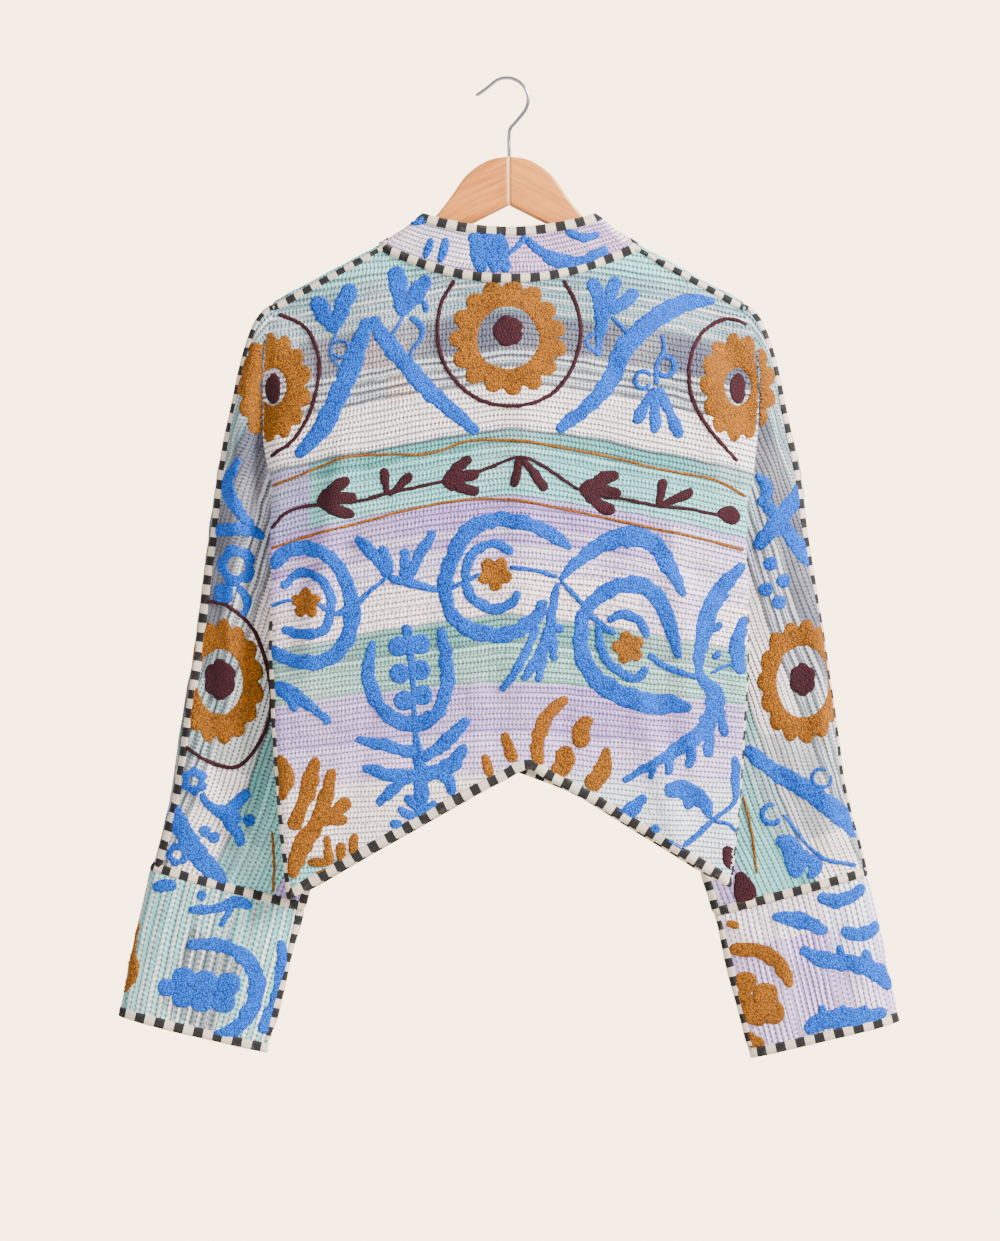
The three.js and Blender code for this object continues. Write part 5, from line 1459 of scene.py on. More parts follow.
@dataclass
class Needle:
    """Works filled shapes in thread on one region of the cloth, as low pads with soft edges."""

    tree: BVHTree
    name: str
    rise: float = 1.25
    sunk: float = 0.4
    step: float = 2.2
    made: dict[str, tuple[list, list]] = field(default_factory=dict)
    noise: Noise = field(default_factory=lambda: Noise(60))

    def lay(self, colour: str, left: Points, right: Points, closed: bool = False,
            hollow: bool = True) -> None:
        """Fill the space between two lines of like length.

        Args:
            colour: The thread.
            left: One edge, by place across and height.
            right: The other.
            closed: Whether both return to their start.
            hollow: Whether the left edge is an edge of the pad too.
        """
        points, faces = self.made.setdefault(colour, ([], []))
        widest = np.linalg.norm(left - right, axis=1).max()
        count = max(4, round(widest / 2.4) + 2)
        shares = np.sin(np.linspace(-math.pi / 2, math.pi / 2, count)) if hollow else np.sin(
            np.linspace(0, math.pi / 2, count)) * 2 - 1
        grid = []
        last = len(left) - 1
        for i in range(len(left)):
            end = 1 if closed else ease(min(i, last - i) / 1.5)
            row = []
            for a in shares:
                x, z = mix(left[i], right[i], (a + 1) / 2)
                edge = abs(a) if hollow else max(a, 0)
                lift = mix(-self.sunk, self.rise * (1 - edge ** 7) - self.sunk * edge ** 12, end)
                hit, normal, _, _ = self.tree.ray_cast(Vector((x, -400, z)), Vector((0, 1, 0)))
                if hit is None:
                    row.append(-1)
                    continue
                out = (normal + Vector((0, -1, 0))).normalized()
                points.append(tuple(hit + out * lift))
                row.append(len(points) - 1)
            grid.append(row)
        if closed:
            grid.append(grid[0])
        for a, b in zip(grid, grid[1:]):
            for k in range(count - 1):
                face = (a[k], a[k + 1], b[k + 1], b[k])
                if min(face) >= 0:
                    faces.append(face)

    def stroke(self, colour: str, *stops: tuple[float, float, float]) -> None:
        """Work a band along a line: stops give the place across, the height and the width."""
        dense = through(stops)
        count = max(3, round(length_of(dense[:, :2]) / self.step))
        run = np.concatenate([[0], np.cumsum(np.linalg.norm(np.diff(dense[:, :2], axis=0), axis=1))])
        total = run[-1]
        half = dense[:, 2] / 2
        at = np.concatenate([[0.15, 0.6], np.linspace(0, total, count + 1)[1:-1],
                             [total - 0.6, total - 0.15]])
        at = np.sort(at)
        line = np.stack([np.interp(at, run, dense[:, k]) for k in range(2)], axis=1)
        half = np.interp(at, run, half)
        caps = [np.clip(d / np.maximum(half, 0.1), 0, 1) for d in (at, total - at)]
        half = half * np.sqrt(1 - (1 - caps[0]) ** 2) * np.sqrt(1 - (1 - caps[1]) ** 2)
        way = np.gradient(line, axis=0)
        way /= np.maximum(np.linalg.norm(way, axis=1, keepdims=True), 1e-6)
        hand = np.stack([way[:, 1], -way[:, 0]], axis=1)
        rough = [self.noise.at(line[:, 0] + s, line[:, 1] - s, 5.5) * np.minimum(half, 7) * 0.24
                 for s in (0, 90)]
        self.lay(colour, line - hand * (half + rough[0])[:, None], line + hand * (half + rough[1])[:, None])

    def lobed(self, colour: str, middle: tuple[float, float], outer: float, inner: float, lobes: int,
              depth: float = 0.13, tall: float = 1, start: float = 0) -> None:
        """Work a disc or ring with a scalloped outer edge."""
        turn = np.linspace(0, 2 * math.pi, max(24, round(2 * math.pi * outer / 2.6)), endpoint=False)
        scallop = np.abs(np.sin(lobes * (turn + start) / 2)) ** 0.6
        rough = 0.04 * self.noise.at(turn * 9, turn * 0 + outer, 3)
        way = np.stack([np.cos(turn), np.sin(turn) * tall], axis=1)
        edge = outer * (1 - depth + depth * scallop + rough)
        left = np.array(middle) + way * np.maximum(inner, 0.4) * (1 + rough[:, None] * (inner > 1))
        self.lay(colour, left, np.array(middle) + way * edge[:, None], True, inner > 1)

    def arc(self, colour: str, middle: tuple[float, float], radius: float, start: float, end: float,
            widths: Sequence[float], tall: float = 1) -> None:
        """Work a band along part of a circle, with widths spread along it."""
        turns = np.radians(np.linspace(start, end, max(len(widths), 7)))
        spread = np.interp(np.linspace(0, 1, len(turns)), np.linspace(0, 1, len(widths)), widths)
        self.stroke(colour, *[(middle[0] + radius * math.cos(t), middle[1] + radius * tall * math.sin(t), w)
                              for t, w in zip(turns, spread)])

    def fork(self, colour: str, base: tuple[float, float], tips: Sequence[tuple[float, float]], width: float,
             neck: float = 0.5) -> None:
        """Work fingers that spread from one place, fuller towards their ends."""
        for x, z in tips:
            bow = 0.08 * (x - base[0])
            self.stroke(colour, (*base, width * neck), (mix(base[0], x, 0.5) + bow, mix(base[1], z, 0.5),
                                                        width * 0.8),
                        (mix(base[0], x, 0.8) + bow / 2, mix(base[1], z, 0.8), width), (x, z, width * 0.7))

    def dots(self, colour: str, places: Sequence[tuple[float, float]], radius: float) -> None:
        """Work round berries."""
        for x, z in places:
            self.lobed(colour, (x, z), radius, 0, 3, 0.05)

    def tulip(self, colour: str, base: tuple[float, float], angle: float, size: float) -> None:
        """Work a closed flower: a full cup that opens into three petals."""
        turn = math.radians(angle)
        spot = lambda along, aside: (base[0] + size * (along * math.cos(turn) - aside * math.sin(turn)),
                                     base[1] + size * (along * math.sin(turn) + aside * math.cos(turn)))
        self.stroke(colour, (*spot(0, 0), size * 0.3), (*spot(0.25, 0), size * 0.62),
                    (*spot(0.6, 0), size * 0.5))
        for aside in (-0.42, 0, 0.42):
            self.stroke(colour, (*spot(0.3, aside * 0.4), size * 0.3),
                        (*spot(0.65, aside * 0.85), size * 0.32),
                        (*spot(1 - abs(aside) * 0.25, aside * 1.05), size * 0.22))

    def bud(self, middle: tuple[float, float], radius: float, start: float = 0) -> None:
        """Work a small flower of five petals."""
        self.lobed("mustard", middle, radius, 0, 5, 0.42, 1, start)

    def finish(self) -> list[bpy.types.Object]:
        """Make one object for each thread."""
        objects = []
        for colour, (points, faces) in self.made.items():
            if not faces:
                continue
            used = sorted({v for f in faces for v in f})
            renumber = {v: i for i, v in enumerate(used)}
            faces = [tuple(renumber[v] for v in f) for f in faces]
            obj = new_object(f"{self.name}_{colour}", np.array([points[v] for v in used]), faces,
                             material_of(FLOSSES[colour]))
            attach(obj, "root")
            objects.append(obj)
            LOG.info("stitched %s: %d faces", obj.name, len(faces))
        return objects


MADE: dict[str, bpy.types.Material] = {}


def material_of(finish: Kantha | Floss | BlockStripe | Beech | Chrome) -> bpy.types.Material:
    """Make a finish's material once."""
    if finish.name not in MADE:
        MADE[finish.name] = finish.material()
    return MADE[finish.name]


# The points of the strokes below were read off the photographed embroidery, not drawn afresh.
# They follow its lines closely enough to be a coarse tracing, and are to be redrawn before they are reused.
def stitch_body(n: Needle) -> None:
    """Embroider the back's body."""
    n.lobed("mustard", (-1, -243), 55, 28, 15, 0.2)
    n.lobed("maroon", (-1, -236), 15, 0, 5, 0.14)
    n.stroke("maroon", (-50, -188, 4.5), (-62, -208, 4.5), (-66, -235, 4.5), (-60, -266, 4.5),
             (-36, -295, 4.5),
             (0, -306, 4.5), (37, -296, 4.5), (60, -266, 4.5), (66, -232, 4.5), (60, -206, 4.5),
             (50, -188, 4.5))
    for x in (-219, 212):
        n.lobed("mustard", (x, -286), 37, 12, 13, 0.2, 1.38)
        n.lobed("maroon", (x, -288), 8, 0, 3, 0.1, 1.9)
    n.stroke("maroon", (-215, -217, 4.5), (-190, -230, 4.5), (-176, -262, 4.5), (-183, -307, 4.5),
             (-201, -337, 4.5), (-222, -351, 4.5))
    n.stroke("maroon", (222, -228, 4.5), (205, -222, 4.5), (182, -233, 4.5), (168, -260, 4.5),
             (168, -293, 4.5),
             (182, -322, 4.5), (212, -356, 4.5))
    # Two long leaves that meet in a peak, and one that sweeps down on the right
    n.stroke("blue", (-130, -223, 13), (-145, -266, 18), (-170, -320, 19), (-197, -352, 11))
    n.stroke("blue", (-129, -223, 14), (-103, -258, 17), (-70, -295, 17), (-28, -330, 11))
    n.stroke("blue", (192, -205, 8), (164, -208, 17), (130, -229, 19), (106, -252, 19), (94, -281, 17),
             (72, -306, 15), (44, -329, 11))
    for base, left, right in (((-162, -237), (-182, -202), (-146, -190)),
                              ((-99, -222), (-106, -174), (-74, -184))):
        for x, z in (left, right):
            n.stroke("blue", (x, z, 14), (mix(x, base[0], 0.5), mix(z, base[1], 0.45), 18), (*base, 7))
    n.stroke("blue", (-160, -236, 3), (-165, -256, 4), (-154, -272, 3))
    n.arc("blue", (-156, -252), 8, 150, -150, (3, 4, 4, 3))
    n.stroke("blue", (-98, -222, 4), (-106, -236, 4), (-112, -244, 4))
    n.stroke("blue", (-92, -222, 5), (-82, -230, 7), (-80, -240, 5), (-90, -255, 4), (-90, -268, 4))
    n.stroke("blue", (-79, -207, 6), (-77, -214, 8), (-77, -219, 5))
    n.stroke("blue", (76, -186, 12), (86, -214, 17), (84, -240, 9), (82, -260, 5))
    n.stroke("blue", (100, -184, 11), (94, -202, 13), (90, -218, 12))
    n.stroke("blue", (120, -198, 11), (106, -208, 14), (92, -218, 12))
    n.stroke("blue", (94, -222, 4), (106, -234, 5), (114, -242, 4))
    n.arc("blue", (80, -246), 8, 60, 330, (4, 5, 5, 4))
    n.stroke("blue", (141, -238, 4), (143, -252, 4), (136, -268, 5), (136, -286, 8))
    n.arc("blue", (144, -268), 9, 120, -150, (4, 6, 6, 5))
    n.arc("blue", (124, -281), 8, 20, 330, (4, 5, 5, 5))
    n.fork("blue", (136, -288), [(116, -322), (134, -331), (158, -335)], 12, 0.9)
    # Lines couched across the body, and the dark vine between them
    n.stroke("mustard", (-221, -379, 3), (-182, -364, 3), (-152, -353, 3), (-118, -350, 3), (-72, -349, 3),
             (-38, -338, 3), (12, -338, 3), (48, -344, 3), (92, -352, 3), (137, -363, 3), (193, -374, 3),
             (220, -388, 3))
    n.stroke("mustard", (-221, -436, 3), (-182, -424, 3), (-142, -414, 3), (-96, -402, 3), (-50, -393, 3),
             (4, -392, 3), (48, -400, 3), (92, -409, 3), (137, -419, 3), (176, -427, 3), (218, -438, 3))
    n.stroke("maroon", (-221, -418, 4), (-206, -403, 4), (-186, -397, 4), (-140, -393, 4), (-112, -386, 4),
             (-62, -375, 4), (-28, -366, 4), (10, -353, 4), (30, -360, 4), (47, -371, 4), (66, -383, 4),
             (105, -391, 4), (137, -397, 4), (172, -401, 4), (196, -406, 4))
    n.tulip("maroon", (-178, -394), 8, 38)
    n.tulip("maroon", (-62, -376), 14, 36)
    n.tulip("maroon", (64, -382), -6, 40)
    n.fork("maroon", (-112, -388), [(-116, -362), (-90, -367)], 10)
    n.fork("maroon", (10, -354), [(4, -381), (34, -384)], 11, 0.7)
    n.fork("maroon", (137, -398), [(143, -372), (170, -382)], 11)
    n.stroke("maroon", (192, -404, 8), (203, -405, 18), (214, -410, 20))
    # A row of three scrolls round small flowers
    n.stroke("blue", (-222, -454, 12), (-204, -438, 15), (-185, -436, 14), (-165, -446, 14), (-151, -466, 14),
             (-145, -489, 16), (-149, -518, 16), (-164, -537, 15), (-187, -542, 14), (-210, -536, 13),
             (-222, -528, 11))
    n.stroke("blue", (-211, -473, 8), (-193, -459, 9), (-173, -466, 9), (-164, -489, 10), (-171, -511, 10),
             (-190, -516, 10), (-211, -511, 9))
    n.stroke("blue", (-224, -491, 4), (-210, -486, 4), (-199, -484, 4))
    n.stroke("blue", (-177, -487, 4), (-161, -497, 6), (-144, -490, 9), (-127, -475, 5), (-112, -463, 5))
    n.bud((-188, -487), 15, 0.3)
    n.stroke("blue", (-142, -426, 9), (-127, -440, 12), (-110, -462, 12))
    n.stroke("blue", (-118, -434, 9), (-113, -446, 11), (-108, -460, 8))
    n.stroke("blue", (-96, -436, 10), (-96, -448, 11), (-98, -464, 8))
    n.stroke("blue", (-69, -420, 9), (-82, -442, 12), (-94, -466, 12))
    n.stroke("blue", (-112, -463, 7), (-92, -468, 11), (-66, -475, 5), (-54, -474, 5))
    n.stroke("blue", (58, -437, 6), (40, -424, 14), (20, -415, 15), (-10, -410, 15), (-36, -420, 17),
             (-52, -444, 15), (-59, -472, 14), (-52, -498, 15), (-28, -514, 16), (0, -515, 16),
             (22, -502, 14),
             (34, -484, 10))
    n.stroke("blue", (4, -441, 9), (-14, -432, 9), (-32, -440, 10), (-40, -460, 10), (-34, -482, 10),
             (-14, -492, 11), (4, -485, 10), (8, -475, 9))
    n.stroke("blue", (-54, -474, 5), (-42, -468, 5), (-26, -460, 5))
    n.stroke("blue", (0, -454, 5), (24, -457, 5), (45, -463, 5))
    n.bud((-13, -460), 17, 0.9)
    n.stroke("blue", (46, -466, 6), (76, -438, 15), (110, -426, 20), (135, -434, 18), (151, -461, 14),
             (162, -481, 9))
    n.stroke("blue", (157, -538, 7), (149, -511, 14), (140, -486, 15), (119, -470, 16), (95, -474, 16),
             (72, -492, 14), (66, -520, 15), (76, -552, 18), (99, -570, 20), (130, -579, 21),
             (150, -580, 18), (169, -584, 9))
    n.stroke("blue", (90, -503, 8), (106, -497, 9), (121, -504, 10), (128, -519, 8))
    n.stroke("blue", (82, -504, 7), (86, -532, 9), (99, -548, 9), (117, -556, 9), (128, -546, 8))
    n.stroke("blue", (47, -466, 5), (64, -484, 6), (84, -506, 7), (98, -516, 6))
    n.stroke("blue", (128, -534, 7), (148, -547, 7), (174, -556, 6))
    n.bud((110, -528), 16, 0.1)
    n.stroke("blue", (45, -468, 5), (40, -490, 9), (37, -515, 12), (26, -539, 12), (12, -558, 8))
    for x, z in ((-8, -568), (26, -560), (42, -541), (51, -512)):
        n.stroke("blue", (mix(38, x, 0.25), -508, 8), (mix(38, x, 0.7), mix(-508, z, 0.7), 9), (x, z, 7))
    # The tall stem within a horseshoe
    n.stroke("blue", (-126, -521, 6), (-130, -552, 13), (-120, -582, 14), (-102, -596, 16), (-84, -598, 16),
             (-67, -589, 15), (-57, -562, 14), (-58, -536, 14), (-63, -509, 7))
    n.stroke("blue", (-95, -506, 9), (-92, -526, 9), (-89, -556, 6), (-87, -600, 6), (-84, -626, 11),
             (-81, -652, 14), (-82, -688, 14))
    n.dots("blue", [(-102, -527), (-82, -525), (-101, -552), (-82, -549), (-97, -577), (-80, -572)], 10)
    n.stroke("blue", (-142, -613, 8), (-116, -618, 13), (-86, -626, 13))
    n.stroke("blue", (-136, -639, 9), (-110, -646, 14), (-84, -646, 12))
    n.stroke("blue", (-122, -674, 8), (-106, -658, 11), (-90, -648, 9))
    n.stroke("blue", (-37, -593, 8), (-58, -615, 14), (-82, -632, 9))
    n.stroke("blue", (-40, -617, 8), (-55, -637, 17), (-80, -648, 14))
    n.stroke("blue", (-52, -665, 8), (-58, -648, 13), (-74, -644, 10))
    for tip, root in (((-97, -665), (-84, -676)), ((-103, -676), (-86, -687)), ((-110, -689), (-98, -696)),
                      ((-67, -670), (-80, -683)), ((-56, -680), (-66, -690))):
        n.stroke("blue", (*tip, 7), (mix(tip[0], root[0], 0.5), mix(tip[1], root[1], 0.5), 10), (*root, 8))
    n.stroke("blue", (-218, -562, 12), (-199, -572, 17), (-180, -585, 9), (-165, -598, 9))
    n.stroke("blue", (-202, -574, 12), (-198, -588, 9))
    # Sprays along the hem
    n.stroke("mustard", (-214, -628, 9), (-207, -646, 17), (-212, -670, 9))
    n.stroke("mustard", (-179, -629, 9), (-184, -652, 17), (-192, -676, 14), (-202, -697, 16))
    n.stroke("mustard", (-163, -640, 9), (-169, -665, 15), (-180, -693, 17), (-193, -714, 20),
             (-202, -742, 11))
    n.stroke("mustard", (-147, -669, 11), (-158, -678, 13), (-172, -686, 12))
    n.stroke("mustard", (-149, -687, 9), (-162, -688, 10), (-174, -690, 8))
    for top, foot, wide in (((-169, -702), (-166, -731), 8), ((-155, -708), (-156, -728), 9),
                            ((-143, -700), (-145, -720), 8), ((-187, -727), (-168, -728), 9),
                            ((-180, -741), (-166, -733), 7)):
        n.stroke("mustard", (*top, wide), (mix(top[0], foot[0], 0.5), mix(top[1], foot[1], 0.5), wide + 1),
                 (*foot, wide))
    n.stroke("mustard", (-23, -626, 8), (-20, -638, 10), (-17, -648, 8))
    n.stroke("mustard", (-5, -606, 9), (0, -620, 11), (5, -634, 14))
    n.stroke("mustard", (54, -574, 9), (35, -591, 13), (27, -613, 14), (27, -638, 12))
    n.stroke("mustard", (76, -592, 11), (66, -606, 18), (68, -621, 16))
    n.stroke("mustard", (53, -618, 12), (52, -630, 20), (50, -640, 14), (46, -648, 11))
    n.stroke("mustard", (42, -634, 9), (44, -646, 9))
    n.stroke("mustard", (90, -620, 8), (86, -642, 17), (72, -658, 20))
    n.stroke("blue", (126, -664, 9), (114, -678, 15), (109, -688, 15))
    n.stroke("blue", (97, -678, 10), (108, -686, 12))
    n.stroke("blue", (143, -658, 14), (163, -661, 18), (180, -671, 15), (187, -687, 5))
    n.stroke("blue", (166, -666, 15), (165, -678, 11))
    n.stroke("blue", (209, -628, 7), (211, -652, 12), (208, -672, 5), (189, -688, 5), (176, -700, 6),
             (161, -712, 6))
    n.stroke("blue", (190, -689, 4), (204, -692, 4), (214, -704, 4))
    n.stroke("blue", (138, -692, 9), (131, -704, 11))
    n.stroke("blue", (130, -705, 6), (150, -712, 11), (166, -724, 13), (174, -733, 8))
    n.stroke("maroon", (200, -712, 9), (207, -724, 18), (213, -736, 12))
    # The broad leaf down the right side and its comb
    n.stroke("blue", (218, -450, 9), (192, -480, 18), (179, -516, 17), (176, -552, 10), (191, -574, 19),
             (183, -599, 18), (158, -620, 14), (128, -638, 9), (105, -652, 7))
    for tip, root, wide in (((200, -611), (194, -580), 10), ((184, -630), (186, -604), 11),
                            ((166, -640), (170, -616), 10), ((146, -646), (150, -626), 9),
                            ((130, -650), (134, -636), 7),
                            ((198, -506), (184, -512), 9), ((204, -478), (192, -484), 9)):
        n.stroke("blue", (*root, wide), (mix(root[0], tip[0], 0.6), mix(root[1], tip[1], 0.6), wide),
                 (*tip, wide * 0.8))
    n.stroke("blue", (221, -499, 12), (211, -528, 16), (216, -553, 12))
    n.stroke("blue", (208, -543, 4), (198, -546, 4), (186, -552, 4))
    n.stroke("blue", (196, -532, 7), (188, -538, 8))


def stitch_sleeve(n: Needle, side: Side) -> None:
    """Embroider the back of a sleeve."""
    s = side.sign
    middle = (-219, -286) if s < 0 else (212, -286)
    n.lobed("mustard", middle, 37, 12, 13, 0.2, 1.38)
    if s < 0:
        n.lobed("mustard", (-270, -560), 42, 21, 15, 0.16, 1.42)
        n.lobed("maroon", (-270, -558), 16, 0, 6, 0.14, 1.25)
        n.stroke("maroon", (-292, -484, 4.5), (-264, -489, 4.5), (-240, -510, 4.5), (-226, -546, 4.5),
                 (-222, -580, 4.5), (-231, -613, 4.5), (-255, -640, 4.5), (-282, -634, 4.5),
                 (-312, -614, 4.5))
        n.stroke("blue", (-250, -352, 6), (-262, -376, 13), (-252, -400, 12), (-238, -416, 6))
        n.stroke("blue", (-284, -420, 10), (-262, -418, 14), (-240, -420, 11), (-228, -426, 8))
        n.lobed("blue", (-254, -452), 19, 8, 5, 0.24, 1.1)
        n.lobed("blue", (-266, -478), 11, 0, 4, 0.2)
        n.stroke("blue", (-252, -470, 7), (-244, -486, 8), (-250, -500, 5))
        n.lobed("blue", (-294, -653), 14, 4, 6, 0.3)
        n.stroke("blue", (-288, -664, 7), (-280, -676, 9), (-264, -684, 16), (-250, -690, 13))
        n.stroke("blue", (-243, -662, 11), (-254, -674, 12), (-266, -684, 13))
        n.stroke("blue", (-249, -714, 11), (-256, -700, 12), (-266, -688, 13))
        n.dots("blue", [(-243, -690), (-284, -700), (-276, -706)], 6)
        n.stroke("blue", (-322, -668, 16), (-301, -706, 20), (-280, -734, 19), (-264, -750, 9))
        n.lobed("blue", (-310, -722), 12, 4, 5, 0.3)
        n.stroke("mustard", (-222, -700, 3), (-220, -730, 3), (-221, -758, 3))
    else:
        n.lobed("mustard", (274, -560), 43, 24, 15, 0.16, 1.38)
        n.lobed("maroon", (274, -558), 13, 0, 6, 0.14, 1.25)
        n.stroke("blue", (286, -356, 8), (270, -384, 16), (250, -412, 18), (230, -436, 12))
        n.stroke("blue", (232, -388, 9), (252, -410, 14), (272, -436, 16), (290, -458, 9))
        n.stroke("blue", (230, -366, 6), (240, -380, 12), (236, -396, 7))
        n.dots("blue", [(244, -450), (256, -466), (240, -474), (252, -486)], 7)
        n.stroke("blue", (221, -621, 11), (242, -640, 16), (274, -658, 18), (304, -680, 20), (330, -705, 15))
        n.arc("blue", (292, -650), 9, 60, 380, (4, 5, 5, 4))
        n.arc("blue", (246, -684), 9, 70, 330, (4, 6, 6, 5))
        n.stroke("blue", (256, -684, 4), (268, -698, 4), (278, -712, 4), (296, -726, 5), (326, -732, 5))
        n.stroke("blue", (250, -706, 10), (266, -718, 22), (268, -744, 18))
        n.stroke("blue", (270, -720, 12), (286, -732, 14), (280, -744, 8))
        n.stroke("maroon", (216, -738, 10), (220, -756, 22), (226, -774, 14))
        n.stroke("mustard", (219, -668, 3), (227, -700, 3), (232, -740, 3))


def stitch_cuff(n: Needle, side: Side) -> None:
    """Embroider the back of a cuff."""
    if side.sign < 0:
        n.stroke("blue", (-302, -807, 9), (-274, -806, 13), (-250, -816, 15), (-237, -837, 17),
                 (-240, -864, 17),
                 (-256, -885, 14), (-278, -894, 10))
        for x, z, r in ((-320, -846, 9), (-304, -838, 12), (-305, -855, 11), (-284, -842, 13),
                        (-287, -858, 12),
                        (-262, -843, 12), (-267, -859, 12)):
            n.lobed("blue", (x, z), r, 0, 4, 0.08)
        n.stroke("blue", (-334, -754, 9), (-322, -750, 13), (-310, -752, 9))
        n.stroke("blue", (-300, -774, 8), (-273, -772, 10), (-254, -766, 13), (-240, -771, 8))
        n.stroke("blue", (-258, -771, 6), (-266, -782, 7), (-270, -790, 5))
        n.lobed("blue", (-287, -760), 5, 0, 3, 0.05)
        n.stroke("blue", (-214, -802, 8), (-213, -828, 12), (-217, -858, 14), (-232, -890, 16))
        n.stroke("mustard", (-348, -786, 6), (-354, -812, 9), (-352, -834, 12), (-362, -852, 5))
    else:
        n.stroke("mustard", (206, -812, 12), (229, -812, 15), (250, -821, 16), (264, -846, 10))
        for x, z, r in ((222, -842, 11), (218, -861, 13), (240, -854, 13), (247, -870, 12), (232, -872, 12)):
            n.lobed("mustard", (x, z), r, 0, 4, 0.08)
        n.stroke("mustard", (212, -888, 10), (226, -896, 15), (240, -900, 8))
        n.stroke("mustard", (204, -786, 8), (216, -790, 8))
        n.stroke("blue", (246, -780, 10), (270, -783, 17), (298, -794, 11))
        n.stroke("blue", (288, -762, 10), (308, -765, 15), (334, -752, 9))
        n.stroke("blue", (310, -792, 12), (329, -797, 14), (347, -787, 12))
        n.stroke("blue", (272, -810, 9), (298, -821, 16), (328, -825, 18), (349, -835, 19), (357, -849, 10))
        n.stroke("blue", (308, -806, 7), (312, -818, 9))
        n.stroke("blue", (332, -810, 7), (336, -822, 9))
        n.stroke("blue", (276, -886, 14), (300, -876, 19), (326, -874, 18), (354, -869, 12))
        for x in (292, 312, 332):
            n.stroke("blue", (x, -862, 6), (x + 3, -872, 9))


def stitch_collar(n: Needle) -> None:
    """Embroider the collar's back."""
    n.stroke("blue", (-92, -134, 8), (-76, -130, 10), (-64, -130, 6))
    n.stroke("blue", (-78, -168, 6), (-74, -156, 8), (-72, -148, 6))
    n.stroke("blue", (-64, -172, 6), (-60, -158, 8), (-58, -148, 6))
    for x, wide in ((-32, 16), (-20, 18), (-10, 14)):
        n.stroke("blue", (x, -143, wide), (x + 3, -160, wide), (x + 8, -182, wide * 0.7))
    n.stroke("blue", (-8, -170, 5), (6, -158, 6), (16, -146, 8))
    n.stroke("blue", (16, -150, 7), (36, -166, 12), (64, -172, 15), (92, -158, 8))
    n.stroke("blue", (52, -142, 6), (68, -148, 9), (84, -144, 6))


class Hanger:
    """The wooden arms and the wire hook."""

    RING = 28
    STATIONS = 70
    THICK = 12
    WIRE = 1.65
    HOOK_RADIUS = 20
    HOOK_MIDDLE = -2.2

    def arm(self, side: Side) -> bpy.types.Object:
        """Loft one arm from the middle to its rounded end."""
        rings = []
        for x in np.linspace(ARM.key[0], ARM.key[-1], self.STATIONS):
            top, bottom, thick = (ARM.read(name, x) for name in ("top", "bottom", "thick"))
            centre, rise, half = (top + bottom) / 2, (top - bottom) / 2, self.THICK * thick / 2
            for k in range(self.RING):
                turn = 2 * math.pi * k / self.RING
                cos, sin = math.cos(turn), math.sin(turn)
                reach = (abs(cos) ** 3.4 + abs(sin) ** 3.4) ** (-1 / 3.4)
                corner = min(1, 5.5 / rise)
                z = rise * (sin * reach * corner + math.copysign(1 - corner, sin) * (abs(sin) > 1e-6))
                rings.append((side.sign * x, arm_y(x) + half * cos * reach, centre + z))
        n, m = self.RING, self.STATIONS
        faces = [(i * n + k, i * n + (k + 1) % n, (i + 1) * n + (k + 1) % n, (i + 1) * n + k)
                 for i in range(m - 1) for k in range(n)]
        faces += [tuple(range(n))[::-1], tuple(range((m - 1) * n, m * n))]
        if side.sign > 0:
            faces = [f[::-1] for f in faces]
        obj = new_object(f"hanger_wood_{side.name}", np.array(rings), [f[::-1] for f in faces],
                         material_of(Beech()))
        layer = obj.data.uv_layers.new(name="Grain")
        spots = np.array(rings)[[v for f in faces for v in f[::-1]]]
        slope = spots[:, 2] + 0.45 * np.abs(spots[:, 0])
        marks = np.stack([spots[:, 0] + 700 * (side.sign > 0), slope + spots[:, 1] * 0.7], axis=1) * MM
        layer.data.foreach_set("uv", marks.reshape(-1))
        return obj

    def hook(self) -> bpy.types.Object:
        """Bend the wire: a turned-out tip, an arc, and a stem."""
        centre = self.WIRE - self.HOOK_RADIUS
        arc = [(self.HOOK_MIDDLE + self.HOOK_RADIUS * math.cos(t), 0, centre + self.HOOK_RADIUS * math.sin(t))
               for t in np.radians([140, 112, 84, 56, 28, 0, -25])]
        path = through([(-31, 0, -15.1), (-26.6, 0, -12.3), (-21.9, 0, -9), *arc, (11.7, 0, -33),
                        (5.6, 0, -40.4), (1, 0, -45.8), (0, 0, -51), (0, 0, -71)])
        path = at_shares(path, np.linspace(0, 1, 120))
        ways = np.gradient(path, axis=0)
        ways /= np.linalg.norm(ways, axis=1, keepdims=True)
        side = np.array([0, 1.0, 0])
        ring, points = 18, []
        for i, (p, way) in enumerate(zip(path, ways)):
            up = np.cross(way, side)
            round_off = math.sqrt(max(0.02, 1 - max(0, 1 - i * 0.9 / self.WIRE) ** 2))
            for k in range(ring):
                turn = 2 * math.pi * k / ring
                points.append(p + self.WIRE * round_off * (side * math.cos(turn) + up * math.sin(turn)))
        faces = [(i * ring + k, i * ring + (k + 1) % ring, (i + 1) * ring + (k + 1) % ring,
                  (i + 1) * ring + k)
                 for i in range(len(path) - 1) for k in range(ring)]
        faces += [tuple(range(ring))[::-1], tuple(range((len(path) - 1) * ring, len(path) * ring))]
        return new_object("hook_wire", np.array(points), faces, material_of(Chrome()))


